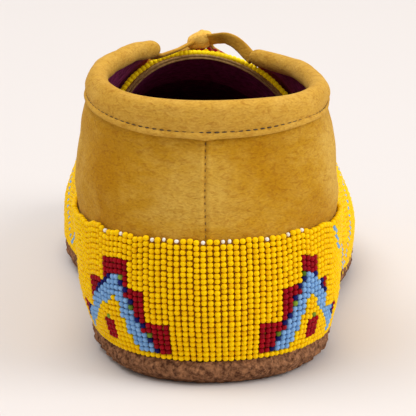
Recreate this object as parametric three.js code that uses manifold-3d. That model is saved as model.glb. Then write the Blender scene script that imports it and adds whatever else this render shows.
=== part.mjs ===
// A beaded moccasin for the right foot, standing empty on its sole.
// Millimetres, +Z up, toe towards +Y, outer side of the foot towards +X.
// Inside the model Y is measured from the back of the heel.
import * as THREE from 'three';
import { mergeVertices } from 'three/addons/utils/BufferGeometryUtils.js';
import Module from 'manifold-3d';

const wasm = await Module();
wasm.setup();

// Driving dimensions
const WALL = 2.0;              // suede and lining together
const GAP = 0.3;               // between pieces that lie on each other
const SOLE_EDGE = 7.8;         // height of the sole's edge
const INSOLE_THICK = 2.0;
const BEAD_THICK = 1.9;        // beadwork over the suede
const RING_STEPS = 64;         // points round the foot
const BACK_REST = 72;          // the heel's flat spot ends here
const FRONT_REST = [140, 212]; // the forefoot's flat spot
const ARCH_LIFT = 1.8;         // rise of the sole under the waist
const TOE_SPRING = 5.0;        // rise of the sole at the toe
const TOE_END = 262;
const INNER_SIDE_RISE = 0.105; // topline higher on the big toe's side, per mm from the middle
const BALL_SKEW = 0.06;        // outer ball further back than the inner one, as a share of the length
const SOLE_LEAN = 1.15;        // the sole's edge lies this far to the outer side
const LEAN_TOP = 4.5;          // level where the lean has died out

// The last: one row for each level round the foot, from the sole's edge to the topline.
// Back and front are the level's ends in side view, Round the radii of those ends in plan,
// and heel, waist, ball and toe its half widths at those stations.
const LEVEL_COLUMNS = [
  'backY', 'backZ', 'frontY', 'frontZ', 'heelRound', 'heel', 'waist', 'ball', 'toe', 'toeRound',
];
const LEVELS = [
  [4, 8.1, 261, 8.1, 29.5, 33, 37, 49.2, 35.5, 26], // sole's edge
  [0.7, 20.5, 265, 20.5, 32.5, 36.2, 37.6, 48.6, 36.8, 29],
  [0, 33, 261.5, 31.5, 34, 36.8, 37.6, 44.8, 33.6, 27],
  [0.6, 46.3, 250, 41.5, 34, 36.8, 37.9, 41.2, 29.4, 23], // bead band's top
  [1.8, 55, 228, 49.5, 34, 37.3, 39, 37.8, 27.4, 21],
  [3.2, 63, 200, 58.5, 33.5, 35.7, 39.8, 34.9, 26, 19.5], // vamp
  [4.6, 70.3, 172, 67.5, 33, 33.7, 39.4, 33.2, 24.5, 18.5],
  [5.8, 76.3, 146, 75.8, 32.5, 31.6, 38, 32.8, 22.5, 18.5], // collar's stitched edge
  [6.7, 81, 124, 83.4, 32, 28.5, 36, 32.2, 22, 19.5],
  [7.2, 84.8, 106, 87.9, 31.5, 25.2, 34.6, 31, 22, 21], // topline
];
const TOP = LEVELS.length - 1;
const BAND_TOP = 3;            // level of the bead band's upper edge
const WALL_LEVELS = [0, 0.5, 1, 1.5, 2, 3, 4, 5, 6, 7, 8, 8.5, 9];
const STATIONS = [0, 0.12, 0.36, 0.66, 0.88, 1];   // shares of a level's length

// The foot's middle line, curving to the big toe
const SWAY = { y: [0, 45, 90, 135, 180, 230, 265], x: [0, 2.7, 2.3, -0.8, -1.6, -4.5, -9] };

// Collar casing: a profile over the topline, n outward from the wall and s up along it
const COLLAR_DEPTH = 8.8;      // from the wall's top down to the casing's stitched edge
const COLLAR_LIP = 4;          // from the wall's top down to the casing's inner edge
const COLLAR_ROLL = { back: 3.4, ends: 2.5 };      // radius of the rolled edge
const COLLAR_EDGE = 1.6;       // how far the stitched edge stands out
const COLLAR_END = { inner: 150, outer: 155 };     // degrees round from the heel
const COLLAR_STEPS = 48;
const CASING_GAP = 0.4;        // the casing lies round the wall's top edge

// Throat: the opening between the two flaps, in plan
const THROAT = { backY: 84, backHalf: 14.6, frontY: 132, frontHalf: 23, corner: 8, low: 60, high: 120 };

// Tongue: an arched sheet from its free edge to under the vamp, a row for each section
const TONGUE = [
  { y: 111, crest: 85.9, radius: 33, half: 29 },
  { y: 118, crest: 83.3, radius: 33, half: 29 },
  { y: 126, crest: 79.8, radius: 33, half: 28.5 },
  { y: 134, crest: 76.2, radius: 33.5, half: 28 },
  { y: 142, crest: 73.0, radius: 35, half: 28 },
];
const TONGUE_THICK = 3.2;      // leather with its beadwork
const TONGUE_STEPS = 14;

// Lace: a suede thong, its routes chosen by hand
const THONG = 3.0;
const LACE_RUN = [[-13.6, 101, 88.3], [-12.0, 102.8, 88.1], [-8.8, 108.0, 87.8], [-5.2, 114.2, 87.9]];
const LACE_LOOP = [[14.2, 103.8, 88.1], [12.9, 104.9, 88.8], [11.0, 106.6, 89.6], [8.4, 109.2, 90.4],
  [5.2, 112.2, 90.2], [1.9, 114.5, 89.3]];
const LACE_END_INNER = [[-3.6, 120.5, 86.7], [-7.4, 125.4, 85.2], [-12.6, 129.6, 83.2], [-18.4, 133.6, 80.2],
  [-24.9, 138.7, 75.4], [-30.2, 142.6, 70.0], [-33.7, 145.4, 64.6], [-36.8, 147.6, 59.5],
  [-40.0, 148.9, 54.1], [-41.9, 149.3, 50.6]];
const LACE_END_OUTER = [[0.5, 120.6, 86.6], [1.9, 125.7, 84.8], [5.3, 133.4, 81.5], [9.5, 141.4, 77.8],
  [14.9, 149.5, 73.5], [21.1, 157, 68.7], [27.4, 163.3, 62.6], [32.7, 167.8, 55.6]];
const KNOT = { at: [-1.6, 117, 88.1], half: [4.2, 3.6, 3.8] };

function smooth(xs, ys, x) {
  let i = 0;
  while (i < xs.length - 2 && x > xs[i + 1]) i += 1;
  const slope = (k) => {
    const a = Math.max(k - 1, 0);
    const b = Math.min(k + 1, xs.length - 1);
    return (ys[b] - ys[a]) / (xs[b] - xs[a]);
  };
  const span = xs[i + 1] - xs[i];
  const t = (x - xs[i]) / span;
  const rise = ys[i + 1] - ys[i];
  const m0 = slope(i) * span;
  const m1 = slope(i + 1) * span;
  return ys[i] + t * (m0 + t * (3 * rise - 2 * m0 - m1 + t * (m0 + m1 - 2 * rise)));
}

const LEVEL_NUMBERS = LEVELS.map((row, k) => k);

function levelRow(level) {
  const row = {};
  LEVEL_COLUMNS.forEach((name, column) => {
    row[name] = smooth(LEVEL_NUMBERS, LEVELS.map((r) => r[column]), level);
  });
  return row;
}

// Rise of the sole: flat under heel and ball, arched at the waist, sprung at the toe
function soleLift(y) {
  if (y > BACK_REST && y < FRONT_REST[0]) {
    return ARCH_LIFT * Math.sin(Math.PI * (y - BACK_REST) / (FRONT_REST[0] - BACK_REST)) ** 2;
  }
  return TOE_SPRING * (Math.max(y - FRONT_REST[1], 0) / (TOE_END - FRONT_REST[1])) ** 2;
}

// A point of the last at an angle round the foot (0 at the heel, a half turn at the toe)
function lastPoint(angle, level) {
  const row = levelRow(level);
  const length = row.frontY - row.backY;
  const t = (1 - Math.cos(angle)) / 2;
  const reach = STATIONS.map((s) => 2 * Math.sqrt(s * (1 - s)));
  const swell = [
    Math.sqrt(row.heelRound * length / 2), row.heel / reach[1], row.waist / reach[2],
    row.ball / reach[3], row.toe / reach[4], Math.sqrt(row.toeRound * length / 2),
  ];
  const station = THREE.MathUtils.clamp(t + BALL_SKEW * Math.sin(angle) ** 3, 0, 1);
  const side = smooth(STATIONS, swell, station) * Math.sin(angle);
  const y = row.backY + length * t;
  const height = level / TOP;
  const climb = t * t * (3 - 2 * t);
  const z = row.backZ + (row.frontZ - row.backZ) * climb
    + soleLift(y) * Math.max(1 - 1.5 * height, 0) - INNER_SIDE_RISE * side * t * height * height;
  const lean = SOLE_LEAN * Math.max(1 - level / LEAN_TOP, 0);
  return new THREE.Vector3(smooth(SWAY.y, SWAY.x, y) + lean + side, y, z);
}

// Outward direction of the last's surface, level at the sole's edge
function lastNormal(angle, level) {
  const step = 0.01;
  const round = lastPoint(angle + step, level).sub(lastPoint(angle - step, level));
  const low = Math.max(level - step, 0);
  const high = Math.min(level + step, TOP);
  const up = lastPoint(angle, high).sub(lastPoint(angle, low));
  const normal = round.cross(up).normalize();
  normal.z *= Math.min(level, 1);
  return normal.normalize();
}

function offsetPoint(angle, level, out) {
  return lastPoint(angle, level).addScaledVector(lastNormal(angle, level), out);
}

function ringAngles() {
  return Array.from({ length: RING_STEPS }, (_, k) => 2 * Math.PI * k / RING_STEPS);
}

function offsetRing(level, out) {
  return ringAngles().map((angle) => offsetPoint(angle, level, out));
}

function toGeometry(points, triangles) {
  const geometry = new THREE.BufferGeometry();
  geometry.setAttribute('position', new THREE.Float32BufferAttribute(points.flatMap((p) => p.toArray()), 3));
  geometry.setIndex(triangles);
  return geometry;
}

// Joins loops of equal length by quads. With wrap the loops go up one face of a wall and,
// from the loop numbered turn, down its other face, where the quads are cut on the same diagonal.
function loft(loops, { wrap = false, turn = loops.length, caps = null } = {}) {
  const count = loops[0].length;
  const points = loops.flat();
  const triangles = [];
  const bands = wrap ? loops.length : loops.length - 1;
  for (let r = 0; r < bands; r += 1) {
    const a = r * count;
    const b = ((r + 1) % loops.length) * count;
    for (let k = 0; k < count; k += 1) {
      const n = (k + 1) % count;
      if (r < turn) triangles.push(a + k, a + n, b + n, a + k, b + n, b + k);
      else triangles.push(a + k, a + n, b + k, a + n, b + n, b + k);
    }
  }
  if (caps) {
    const last = (loops.length - 1) * count;
    for (const [i, j, k] of caps) triangles.push(k, j, i, last + i, last + j, last + k);
  }
  return toGeometry(points, triangles);
}

// Triangles across a loop whose points pair up left and right
function acrossCaps(count, first = 0) {
  const caps = [];
  const half = Math.floor(count / 2);
  for (let k = 0; k < half; k += 1) {
    const a = (first + k) % count;
    const b = (first + k + 1) % count;
    const c = (first + count - k - 1) % count;
    const d = (first + count - k) % count;
    if (d % count !== a) caps.push([a, b, d]);
    if (b !== c) caps.push([b, c, d]);
  }
  return caps;
}

function solidOf(geometry) {
  const bare = geometry.clone();
  for (const name of ['normal', 'uv']) bare.deleteAttribute(name);
  const merged = mergeVertices(bare, 1e-4);
  return new wasm.Manifold(new wasm.Mesh({
    numProp: 3,
    vertProperties: new Float32Array(merged.attributes.position.array),
    triVerts: new Uint32Array(merged.index.array),
  }));
}

function geometryOf(solid) {
  const mesh = solid.getMesh();
  const geometry = new THREE.BufferGeometry();
  geometry.setAttribute('position', new THREE.BufferAttribute(new Float32Array(mesh.vertProperties), 3));
  geometry.setIndex(Array.from(mesh.triVerts));
  return geometry;
}

// Hollow wall between two offsets of the last, a ring for each level
function wallShell(levels, inside, outside) {
  const outer = levels.map((level) => offsetRing(level, outside));
  const inner = levels.map((level) => offsetRing(level, inside)).reverse();
  return loft([...outer, ...inner], { wrap: true, turn: levels.length });
}

function throatCutter() {
  const { backY, backHalf, frontY, frontHalf, corner } = THROAT;
  const plan = new THREE.Shape();
  plan.moveTo(-backHalf, backY);
  plan.lineTo(backHalf, backY);
  plan.lineTo(frontHalf, frontY - corner);
  plan.quadraticCurveTo(frontHalf, frontY, frontHalf - corner, frontY);
  plan.lineTo(-frontHalf + corner, frontY);
  plan.quadraticCurveTo(-frontHalf, frontY, -frontHalf, frontY - corner);
  plan.closePath();
  const settings = { depth: THROAT.high - THROAT.low, bevelEnabled: false, curveSegments: 4 };
  const cutter = new THREE.ExtrudeGeometry(plan, settings);
  return cutter.translate(smooth(SWAY.y, SWAY.x, frontY), 0, THROAT.low);
}

function makeUpper() {
  const whole = solidOf(wallShell(WALL_LEVELS, -WALL, 0));
  return geometryOf(whole.subtract(solidOf(throatCutter())));
}

function makeBeadBand() {
  return wallShell(WALL_LEVELS.filter((level) => level <= BAND_TOP), GAP, GAP + BEAD_THICK);
}

// The level that lies a given way down the wall from the topline
function levelBelowTop(angle, depth) {
  const step = 0.05;
  let level = TOP;
  let gone = 0;
  let here = lastPoint(angle, level);
  while (gone < depth) {
    const next = lastPoint(angle, level - step);
    gone += next.distanceTo(here);
    here = next;
    level -= step;
  }
  return level;
}

// Direction straight up out of the wall's top edge
function wallUp(angle) {
  const step = 0.01;
  const round = lastPoint(angle + step, TOP).sub(lastPoint(angle - step, TOP));
  return lastNormal(angle, TOP).cross(round).normalize();
}

function collarProfile(roll) {
  const middle = -WALL / 2;
  const swell = 0.4;
  const arcSteps = 6;
  const profile = [
    [COLLAR_EDGE, -COLLAR_DEPTH],
    [COLLAR_EDGE + swell, -COLLAR_DEPTH / 2],
  ];
  for (let k = 0; k <= arcSteps; k += 1) {
    const turn = Math.PI * k / arcSteps;
    profile.push([middle + roll * Math.cos(turn), roll * Math.sin(turn)]);
  }
  profile.push([middle - roll + swell, -COLLAR_LIP]);
  profile.push([middle, -COLLAR_LIP]);
  profile.push([middle, -COLLAR_DEPTH]);
  return profile;
}

function makeCollar() {
  const from = THREE.MathUtils.degToRad(COLLAR_END.outer);
  const to = -THREE.MathUtils.degToRad(COLLAR_END.inner);
  const sections = [];
  for (let k = 0; k <= COLLAR_STEPS; k += 1) {
    const angle = from + (to - from) * k / COLLAR_STEPS;
    const rim = lastPoint(angle, TOP);
    const up = wallUp(angle);
    const rimNormal = lastNormal(angle, TOP);
    const roll = THREE.MathUtils.lerp(COLLAR_ROLL.back, COLLAR_ROLL.ends, Math.abs(angle / from) ** 3);
    sections.push(collarProfile(roll).map(([n, s]) => {
      if (s < 0) return offsetPoint(angle, levelBelowTop(angle, -s), n);
      return rim.clone().addScaledVector(rimNormal, n).addScaledVector(up, s);
    }));
  }
  const flat = collarProfile(COLLAR_ROLL.back).map(([n, s]) => new THREE.Vector2(n, s));
  const caps = THREE.ShapeUtils.triangulateShape(flat, []);
  const casing = solidOf(loft(sections, { caps }));
  const wallOutside = WALL_LEVELS.filter((level) => level >= 4);
  const outer = wallOutside.map((level) => offsetRing(level, CASING_GAP));
  const inner = wallOutside.map((level) => offsetRing(level, -WALL - CASING_GAP));
  const raise = (ring) => ring.map((p, k) => p.clone().addScaledVector(wallUp(ringAngles()[k]), CASING_GAP));
  outer.push(raise(outer.at(-1)));
  inner.push(raise(inner.at(-1)));
  const grownWall = solidOf(loft([...outer, ...inner.reverse()], { wrap: true, turn: outer.length }));
  return geometryOf(casing.subtract(grownWall));
}

// Loops of the sole: how far each stands out from the last's lowest level, and its height
const SOLE_LOOPS = [
  { out: -4.2, z: 0.0 },
  { out: -1.2, z: 0.7 },
  { out: 1.0, z: 2.6 },
  { out: 1.7, z: 5.2 },
  { out: 1.5, z: SOLE_EDGE },
];

// A loop beside the last's lowest level, at one height over the sole's rise
function flatRing(out, height) {
  return ringAngles().map((angle) => {
    const p = offsetPoint(angle, 0, out);
    p.z = height + soleLift(lastPoint(angle, 0).y);
    return p;
  });
}

function makeOutsole() {
  const loops = SOLE_LOOPS.map(({ out, z }) => flatRing(out, z));
  return loft(loops, { caps: acrossCaps(RING_STEPS) });
}

function makeInsole() {
  const low = SOLE_EDGE + GAP;
  const loops = [low, low + INSOLE_THICK].map((z) => flatRing(-WALL - GAP, z));
  return loft(loops, { caps: acrossCaps(RING_STEPS) });
}

function tongueSection({ y, crest, radius, half }) {
  const middle = smooth(SWAY.y, SWAY.x, y);
  const spread = Math.asin(half / radius);
  const arc = (r) => Array.from({ length: TONGUE_STEPS + 1 }, (_, k) => {
    const turn = spread * (2 * k / TONGUE_STEPS - 1);
    const side = r * Math.sin(turn);
    return new THREE.Vector3(middle + side, y, crest - radius + r * Math.cos(turn) - INNER_SIDE_RISE * side);
  });
  return [...arc(radius), ...arc(radius - TONGUE_THICK).reverse()];
}

function makeTongue() {
  const loops = TONGUE.map(tongueSection);
  return loft(loops, { caps: acrossCaps(loops[0].length, 0) });
}

function thongAlong(route) {
  const sides = 8;
  const outline = Array.from({ length: sides }, (_, k) => {
    const turn = 2 * Math.PI * k / sides;
    return new THREE.Vector2(THONG / 2 * Math.cos(turn), THONG / 2 * Math.sin(turn));
  });
  const path = new THREE.CatmullRomCurve3(route.map((p) => new THREE.Vector3(...p)));
  const steps = Math.max(Math.round(path.getLength() / (2 * THONG)), 3);
  const settings = { steps, bevelEnabled: false, extrudePath: path };
  return new THREE.ExtrudeGeometry(new THREE.Shape(outline), settings);
}

function makeKnot() {
  const knot = new THREE.SphereGeometry(1, 12, 8);
  knot.scale(...KNOT.half);
  return knot.translate(...KNOT.at);
}

function finish(color, roughness) {
  return new THREE.MeshStandardMaterial({ color, roughness, metalness: 0 });
}

const SUEDE = '#c9992f';
const cordPieces = [
  ['lace_run', thongAlong(LACE_RUN), finish('#c08f2c', 0.95)],
  ['lace_loop', thongAlong(LACE_LOOP), finish('#c08f2c', 0.95)],
  ['lace_knot', makeKnot(), finish('#c08f2c', 0.95)],
  ['lace_end_inner', thongAlong(LACE_END_INNER), finish('#c08f2c', 0.95)],
  ['lace_end_outer', thongAlong(LACE_END_OUTER), finish('#c08f2c', 0.95)],
];
const shoePieces = [
  ['outsole', makeOutsole(), finish('#78503c', 0.95)],
  ['insole', makeInsole(), finish('#3a1c2c', 0.9)],
  ['upper', makeUpper(), finish(SUEDE, 0.95)],
  ['bead_band', makeBeadBand(), finish('#f2c400', 0.3)],
  ['collar', makeCollar(), finish('#cfa23c', 0.95)],
  ['tongue', makeTongue(), finish('#e8b90a', 0.4)],
];

function addPieces(group, pieces) {
  for (const [name, geometry, material] of pieces) {
    const mesh = new THREE.Mesh(geometry, material);
    mesh.name = name;
    group.add(mesh);
  }
}

// The shoe stands over the origin, in the middle of its box; the lace goes with it
const shoe = new THREE.Group();
addPieces(shoe, shoePieces);
const box = new THREE.Box3().setFromObject(shoe);
const middle = box.getCenter(new THREE.Vector3());
addPieces(shoe, cordPieces);
shoe.position.set(-middle.x, -middle.y, -box.min.z);

const moccasin = new THREE.Group();
moccasin.add(shoe);

export default moccasin;
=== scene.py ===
# %% [markdown]
# A beaded moccasin, seen from behind.
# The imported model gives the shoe's true form: sole, hollow upper, collar, tongue and thong.
# This lesson dresses that form with suede, thousands of single glass beads, rough sole leather
# and thread, each piece made from the same few sizes as the solids underneath.

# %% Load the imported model
import math

import bmesh
import bpy
import numpy as np
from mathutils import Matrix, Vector


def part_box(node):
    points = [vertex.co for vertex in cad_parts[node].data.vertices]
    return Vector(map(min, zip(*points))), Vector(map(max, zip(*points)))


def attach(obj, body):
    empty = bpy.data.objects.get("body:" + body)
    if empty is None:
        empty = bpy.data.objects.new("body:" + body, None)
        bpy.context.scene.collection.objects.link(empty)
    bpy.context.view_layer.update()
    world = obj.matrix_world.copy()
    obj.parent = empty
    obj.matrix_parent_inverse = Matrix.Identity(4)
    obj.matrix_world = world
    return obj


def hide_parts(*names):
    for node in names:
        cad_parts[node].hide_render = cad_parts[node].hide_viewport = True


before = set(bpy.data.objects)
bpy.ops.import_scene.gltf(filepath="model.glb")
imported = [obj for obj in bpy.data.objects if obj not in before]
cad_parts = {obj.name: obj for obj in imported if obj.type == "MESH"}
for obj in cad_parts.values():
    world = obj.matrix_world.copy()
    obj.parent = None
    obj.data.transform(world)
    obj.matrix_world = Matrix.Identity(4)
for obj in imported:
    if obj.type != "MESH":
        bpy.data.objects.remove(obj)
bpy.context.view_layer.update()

# %% [markdown]
# The shoe's form is one function. A moccasin is sewn over a last, and a last is easy to draw as
# levels: each level is a closed curve round the foot, with a back and a front end, a radius at
# each end and four half widths between. Smooth steps from level to level give the whole surface.
# Having it as a function, and not as a mesh, lets every bead, seam and stitch ask for its own place.

# %% The last's levels, in millimetres from the back of the heel
MM = 0.001
LEVEL_COLUMNS = (
    "back_y", "back_z", "front_y", "front_z", "heel_round", "heel", "waist", "ball", "toe", "toe_round",
)
LEVELS = np.array([
    [4, 8.1, 261, 8.1, 29.5, 33, 37, 49.2, 35.5, 26],
    [0.7, 20.5, 265, 20.5, 32.5, 36.2, 37.6, 48.6, 36.8, 29],
    [0, 33, 261.5, 31.5, 34, 36.8, 37.6, 44.8, 33.6, 27],
    [0.6, 46.3, 250, 41.5, 34, 36.8, 37.9, 41.2, 29.4, 23],
    [1.8, 55, 228, 49.5, 34, 37.3, 39, 37.8, 27.4, 21],
    [3.2, 63, 200, 58.5, 33.5, 35.7, 39.8, 34.9, 26, 19.5],
    [4.6, 70.3, 172, 67.5, 33, 33.7, 39.4, 33.2, 24.5, 18.5],
    [5.8, 76.3, 146, 75.8, 32.5, 31.6, 38, 32.8, 22.5, 18.5],
    [6.7, 81, 124, 83.4, 32, 28.5, 36, 32.2, 22, 19.5],
    [7.2, 84.8, 106, 87.9, 31.5, 25.2, 34.6, 31, 22, 21],
])
TOP = len(LEVELS) - 1
BAND_TOP = 3
STATIONS = np.array([0, 0.12, 0.36, 0.66, 0.88, 1])
SWAY_Y = np.array([0, 45, 90, 135, 180, 230, 265])
SWAY_X = np.array([0, 2.7, 2.3, -0.8, -1.6, -4.5, -9.0])
BALL_SKEW, SOLE_LEAN, LEAN_TOP = 0.06, 1.15, 4.5
BACK_REST, FRONT_REST, FRONT_REST_END, TOE_END = 72, 140, 212, 262
ARCH_LIFT, TOE_SPRING, LIFT_FADE, INNER_SIDE_RISE = 1.8, 5.0, 1.5, 0.105
WALL, GAP, BEAD_THICK = 2.0, 0.3, 1.9
print("levels of the last:", len(LEVELS))


# %% Curves, humps and lengths
def smooth(xs, ys, x):
    """A smooth curve through the points xs, ys; ys may hold one row of values for each x asked."""
    xs, ys = np.asarray(xs, float), np.asarray(ys, float)
    count = len(xs)
    before = np.maximum(np.arange(count) - 1, 0)
    after = np.minimum(np.arange(count) + 1, count - 1)
    slope = (ys[..., after] - ys[..., before]) / (xs[after] - xs[before])
    i = np.clip(np.searchsorted(xs, x, side="left") - 1, 0, count - 2)

    def pick(rows, k):
        return rows[k] if rows.ndim == 1 else np.take_along_axis(rows, k[..., None], -1)[..., 0]

    span = xs[i + 1] - xs[i]
    t = (x - xs[i]) / span
    start, rise = pick(ys, i), pick(ys, i + 1) - pick(ys, i)
    m0, m1 = pick(slope, i) * span, pick(slope, i + 1) * span
    return start + t * (m0 + t * (3 * rise - 2 * m0 - m1 + t * (m0 + m1 - 2 * rise)))


def bell(x, middle, width):
    """A soft hump: 1 at its middle and almost nothing two widths away."""
    return np.exp(-((x - middle) / width) ** 2)


def ramp(x, start, width):
    """Nothing up to the start, then an even rise to 1."""
    return np.clip((x - start) / width, 0, 1)


def eased(share):
    """The same share with a soft start and a soft stop."""
    return share * share * (3 - 2 * share)


def circle(steps):
    """Angles of even steps round a circle."""
    return np.arange(steps) * 2 * np.pi / steps


def unit(v):
    return v / np.linalg.norm(v, axis=-1, keepdims=True)


def run_length(points):
    """How far along its line each point lies."""
    steps = np.linalg.norm(np.diff(points, axis=-2), axis=-1)
    return np.concatenate([np.zeros(steps.shape[:-1] + (1,)), np.cumsum(steps, -1)], -1)


def line_at(line, run, stops):
    """Points of a line at these distances along it."""
    return np.stack([np.interp(stops, run, line[:, k]) for k in range(3)], -1)


# %% The last as a function
NORMAL_STEP = 0.01


def sole_lift(y):
    """How far the sole stands off the floor: an arch under the waist and spring at the toe."""
    arch = np.sin(np.pi * ramp(y, BACK_REST, FRONT_REST - BACK_REST)) ** 2
    spring = (np.maximum(y - FRONT_REST_END, 0) / (TOE_END - FRONT_REST_END)) ** 2
    return ARCH_LIFT * arch + TOE_SPRING * spring


def sway(y):
    """How far the foot's middle line lies to the side."""
    return smooth(SWAY_Y, SWAY_X, y)


def last_point(angle, level):
    """Points of the last: angle 0 is the heel's middle, positive goes round the outer side."""
    angle, level = np.broadcast_arrays(np.asarray(angle, float), np.asarray(level, float))
    level_number = np.arange(len(LEVELS))
    here = {name: smooth(level_number, LEVELS[:, k], level) for k, name in enumerate(LEVEL_COLUMNS)}
    length = here["front_y"] - here["back_y"]
    t = (1 - np.cos(angle)) / 2
    reach = 2 * np.sqrt(STATIONS * (1 - STATIONS))
    swell = np.stack([
        np.sqrt(here["heel_round"] * length / 2), here["heel"] / reach[1], here["waist"] / reach[2],
        here["ball"] / reach[3], here["toe"] / reach[4], np.sqrt(here["toe_round"] * length / 2),
    ], -1)
    station = np.clip(t + BALL_SKEW * np.sin(angle) ** 3, 0, 1)
    side = smooth(STATIONS, swell, station) * np.sin(angle)
    y = here["back_y"] + length * t
    height = level / TOP
    z = here["back_z"] + (here["front_z"] - here["back_z"]) * eased(t)
    z = z + sole_lift(y) * np.maximum(1 - LIFT_FADE * height, 0) - INNER_SIDE_RISE * side * t * height ** 2
    lean = SOLE_LEAN * np.maximum(1 - level / LEAN_TOP, 0)
    return np.stack([sway(y) + lean + side, y, z], -1)


def round_way(angle, level):
    return last_point(angle + NORMAL_STEP, level) - last_point(angle - NORMAL_STEP, level)


def last_normal(angle, level):
    """The way out of the last's surface; down at the sole it is level."""
    angle, level = np.broadcast_arrays(np.asarray(angle, float), np.asarray(level, float))
    above = last_point(angle, np.minimum(level + NORMAL_STEP, TOP))
    below = last_point(angle, np.maximum(level - NORMAL_STEP, 0))
    normal = unit(np.cross(round_way(angle, level), above - below))
    normal[..., 2] *= np.minimum(level, 1)
    return unit(normal)


def off_last(angle, level, out):
    """Points this many millimetres off the last."""
    return last_point(angle, level) + last_normal(angle, level) * np.asarray(out, float)[..., None]


print("top of the last at the heel, mm:", np.round(last_point(0, TOP), 1))

# %% Where the hide eases off the last
FLARE_LEVEL, FLARE_LEVELS, FLARE_AT, FLARE_DEGREES = 3.1, 0.9, 62.0, 22.0
INNER_FLARE, OUTER_FLARE = 1.1, 0.7
COLLAR_EASE, COLLAR_EASE_AT, COLLAR_EASE_DEGREES = 1.9, -78.0, 34.0
EASE_LEVEL, EASE_LEVELS = 6.0, 1.5


def collar_ease(angle):
    """The inner side of the collar hangs a little outward."""
    return COLLAR_EASE * bell(np.degrees(angle), COLLAR_EASE_AT, COLLAR_EASE_DEGREES)


def side_flare(angle, level):
    """The quarters swell where the bead band draws them in, and follow the collar at the top."""
    degrees = np.degrees(angle)
    near_band = bell(level, FLARE_LEVEL, FLARE_LEVELS) * bell(np.abs(degrees), FLARE_AT, FLARE_DEGREES)
    near_top = ramp(level, EASE_LEVEL, EASE_LEVELS)
    return np.where(degrees < 0, INNER_FLARE, OUTER_FLARE) * near_band + near_top * collar_ease(angle)


# %% Where the model's origin lies
CAD_RING_STEPS = 64
CAD_BAND_LEVELS = np.array([0, 0.5, 1, 1.5, 2, 3])[:, None]
band_points = off_last(circle(CAD_RING_STEPS), CAD_BAND_LEVELS, GAP + BEAD_THICK).reshape(-1, 3)
band_box = [np.array(corner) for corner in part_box("bead_band")]
SHIFT = (band_box[0] + band_box[1]) / 2 / MM - (band_points.min(0) + band_points.max(0)) / 2
SHIFT[2] = 0
print("heel's middle in the model's frame, mm:", np.round(SHIFT, 3))


def to_frame(points):
    """Millimetres from the heel to metres in the model's frame."""
    return (np.asarray(points, float) + SHIFT) * MM


# %% [markdown]
# The camera comes before the pieces, because it says how large a bead is in the picture. The photo
# was taken from straight behind and a little above, with a long lens. Two heights on the heel and
# the spread of the collar fix its distance and its pitch, and the view is then closed in on one shoe.

# %% Camera
CAMERA_DISTANCE, CAMERA_PITCH = 1000.0, math.radians(13.0)
PHOTO_PIXELS_PER_RADIAN, FRAMED_PIXELS = 1843.0, 232.0
AIM = np.array([1.1, 0.0, 56.6])
HEEL_MIDDLE = np.array([0.0, 0.0, 45.0])
SENSOR, CLIP_END = 36.0, 20.0


def add_object(name, data):
    """Put a mesh, a light or a camera into the scene."""
    thing = bpy.data.objects.new(name, data)
    bpy.context.collection.objects.link(thing)
    return thing


def stand(thing, place, aim):
    """Stand a camera or a light at a place and turn it to its aim."""
    thing.location = Vector(place)
    thing.rotation_mode = "QUATERNION"
    thing.rotation_quaternion = (Vector(aim) - Vector(place)).to_track_quat("-Z", "Y")


backward = np.array([0.0, -math.cos(CAMERA_PITCH), math.sin(CAMERA_PITCH)])
camera_data = bpy.data.cameras.new("view_from_behind")
camera_data.sensor_width = SENSOR
camera_data.lens = SENSOR * PHOTO_PIXELS_PER_RADIAN / FRAMED_PIXELS
camera_data.clip_end = CLIP_END
camera = add_object("view_from_behind", camera_data)
stand(camera, to_frame(HEEL_MIDDLE + backward * CAMERA_DISTANCE), to_frame(AIM))
bpy.context.scene.camera = camera
print("lens, mm:", round(camera_data.lens), "camera height, mm:", round(camera.location.z / MM))

# %% [markdown]
# Colours in a picture are sRGB, and shaders count in linear light, so one function turns a hex value
# into what a shader wants. The other small functions add one node each, with its settings and links:
# a noise of a real size, a share of a value, a blend of two colours, a bump. Every material below is
# a short list of such calls. The view is set to Standard, because the beads' full yellow is washed
# out by a film-like view transform.

# %% Colour and node helpers
COLOUR_A, COLOUR_B, COLOUR_OUT = 6, 7, 2
bpy.context.scene.view_settings.view_transform = "Standard"


def linear(hex_colour):
    parts = [int(hex_colour[k:k + 2], 16) / 255 for k in (1, 3, 5)]
    return [p / 12.92 if p <= 0.04045 else ((p + 0.055) / 1.055) ** 2.4 for p in parts] + [1.0]


def add_node(tree, kind, settings=None, inputs=None):
    """Add one node; an input given as a socket is linked and any other value is set."""
    node = tree.nodes.new(kind)
    for name, value in (settings or {}).items():
        setattr(node, name, value)
    for name, value in (inputs or {}).items():
        if isinstance(value, bpy.types.NodeSocket):
            tree.links.new(value, node.inputs[name])
        else:
            node.inputs[name].default_value = value
    return node


def start_material(name, shader_inputs):
    """A material with a Principled shader: the material, its nodes and where its points lie."""
    material = bpy.data.materials.new(name)
    material.use_nodes = True
    tree = material.node_tree
    for socket, value in shader_inputs.items():
        tree.nodes["Principled BSDF"].inputs[socket].default_value = value
    return material, tree, add_node(tree, "ShaderNodeTexCoord").outputs["Object"]


def set_surface(tree, colour, normal=None):
    """Give the shader its colour and, where there is one, its bump."""
    shader = tree.nodes["Principled BSDF"]
    tree.links.new(colour, shader.inputs["Base Color"])
    if normal is not None:
        tree.links.new(normal, shader.inputs["Normal"])


def laid(tree, place, stretch, shift=(0, 0, 0)):
    """Places moved and stretched before a noise reads them."""
    return add_node(tree, "ShaderNodeMapping", inputs={
        "Vector": place, "Location": shift, "Scale": stretch}).outputs[0]


def noise(tree, place, size, detail, roughness=0.5, distortion=0.0):
    """Noise with features of this many millimetres: its value, then its colour."""
    return add_node(tree, "ShaderNodeTexNoise", inputs={
        "Vector": place, "Scale": 1 / (size * MM), "Detail": detail, "Roughness": roughness,
        "Distortion": distortion}).outputs


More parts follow.
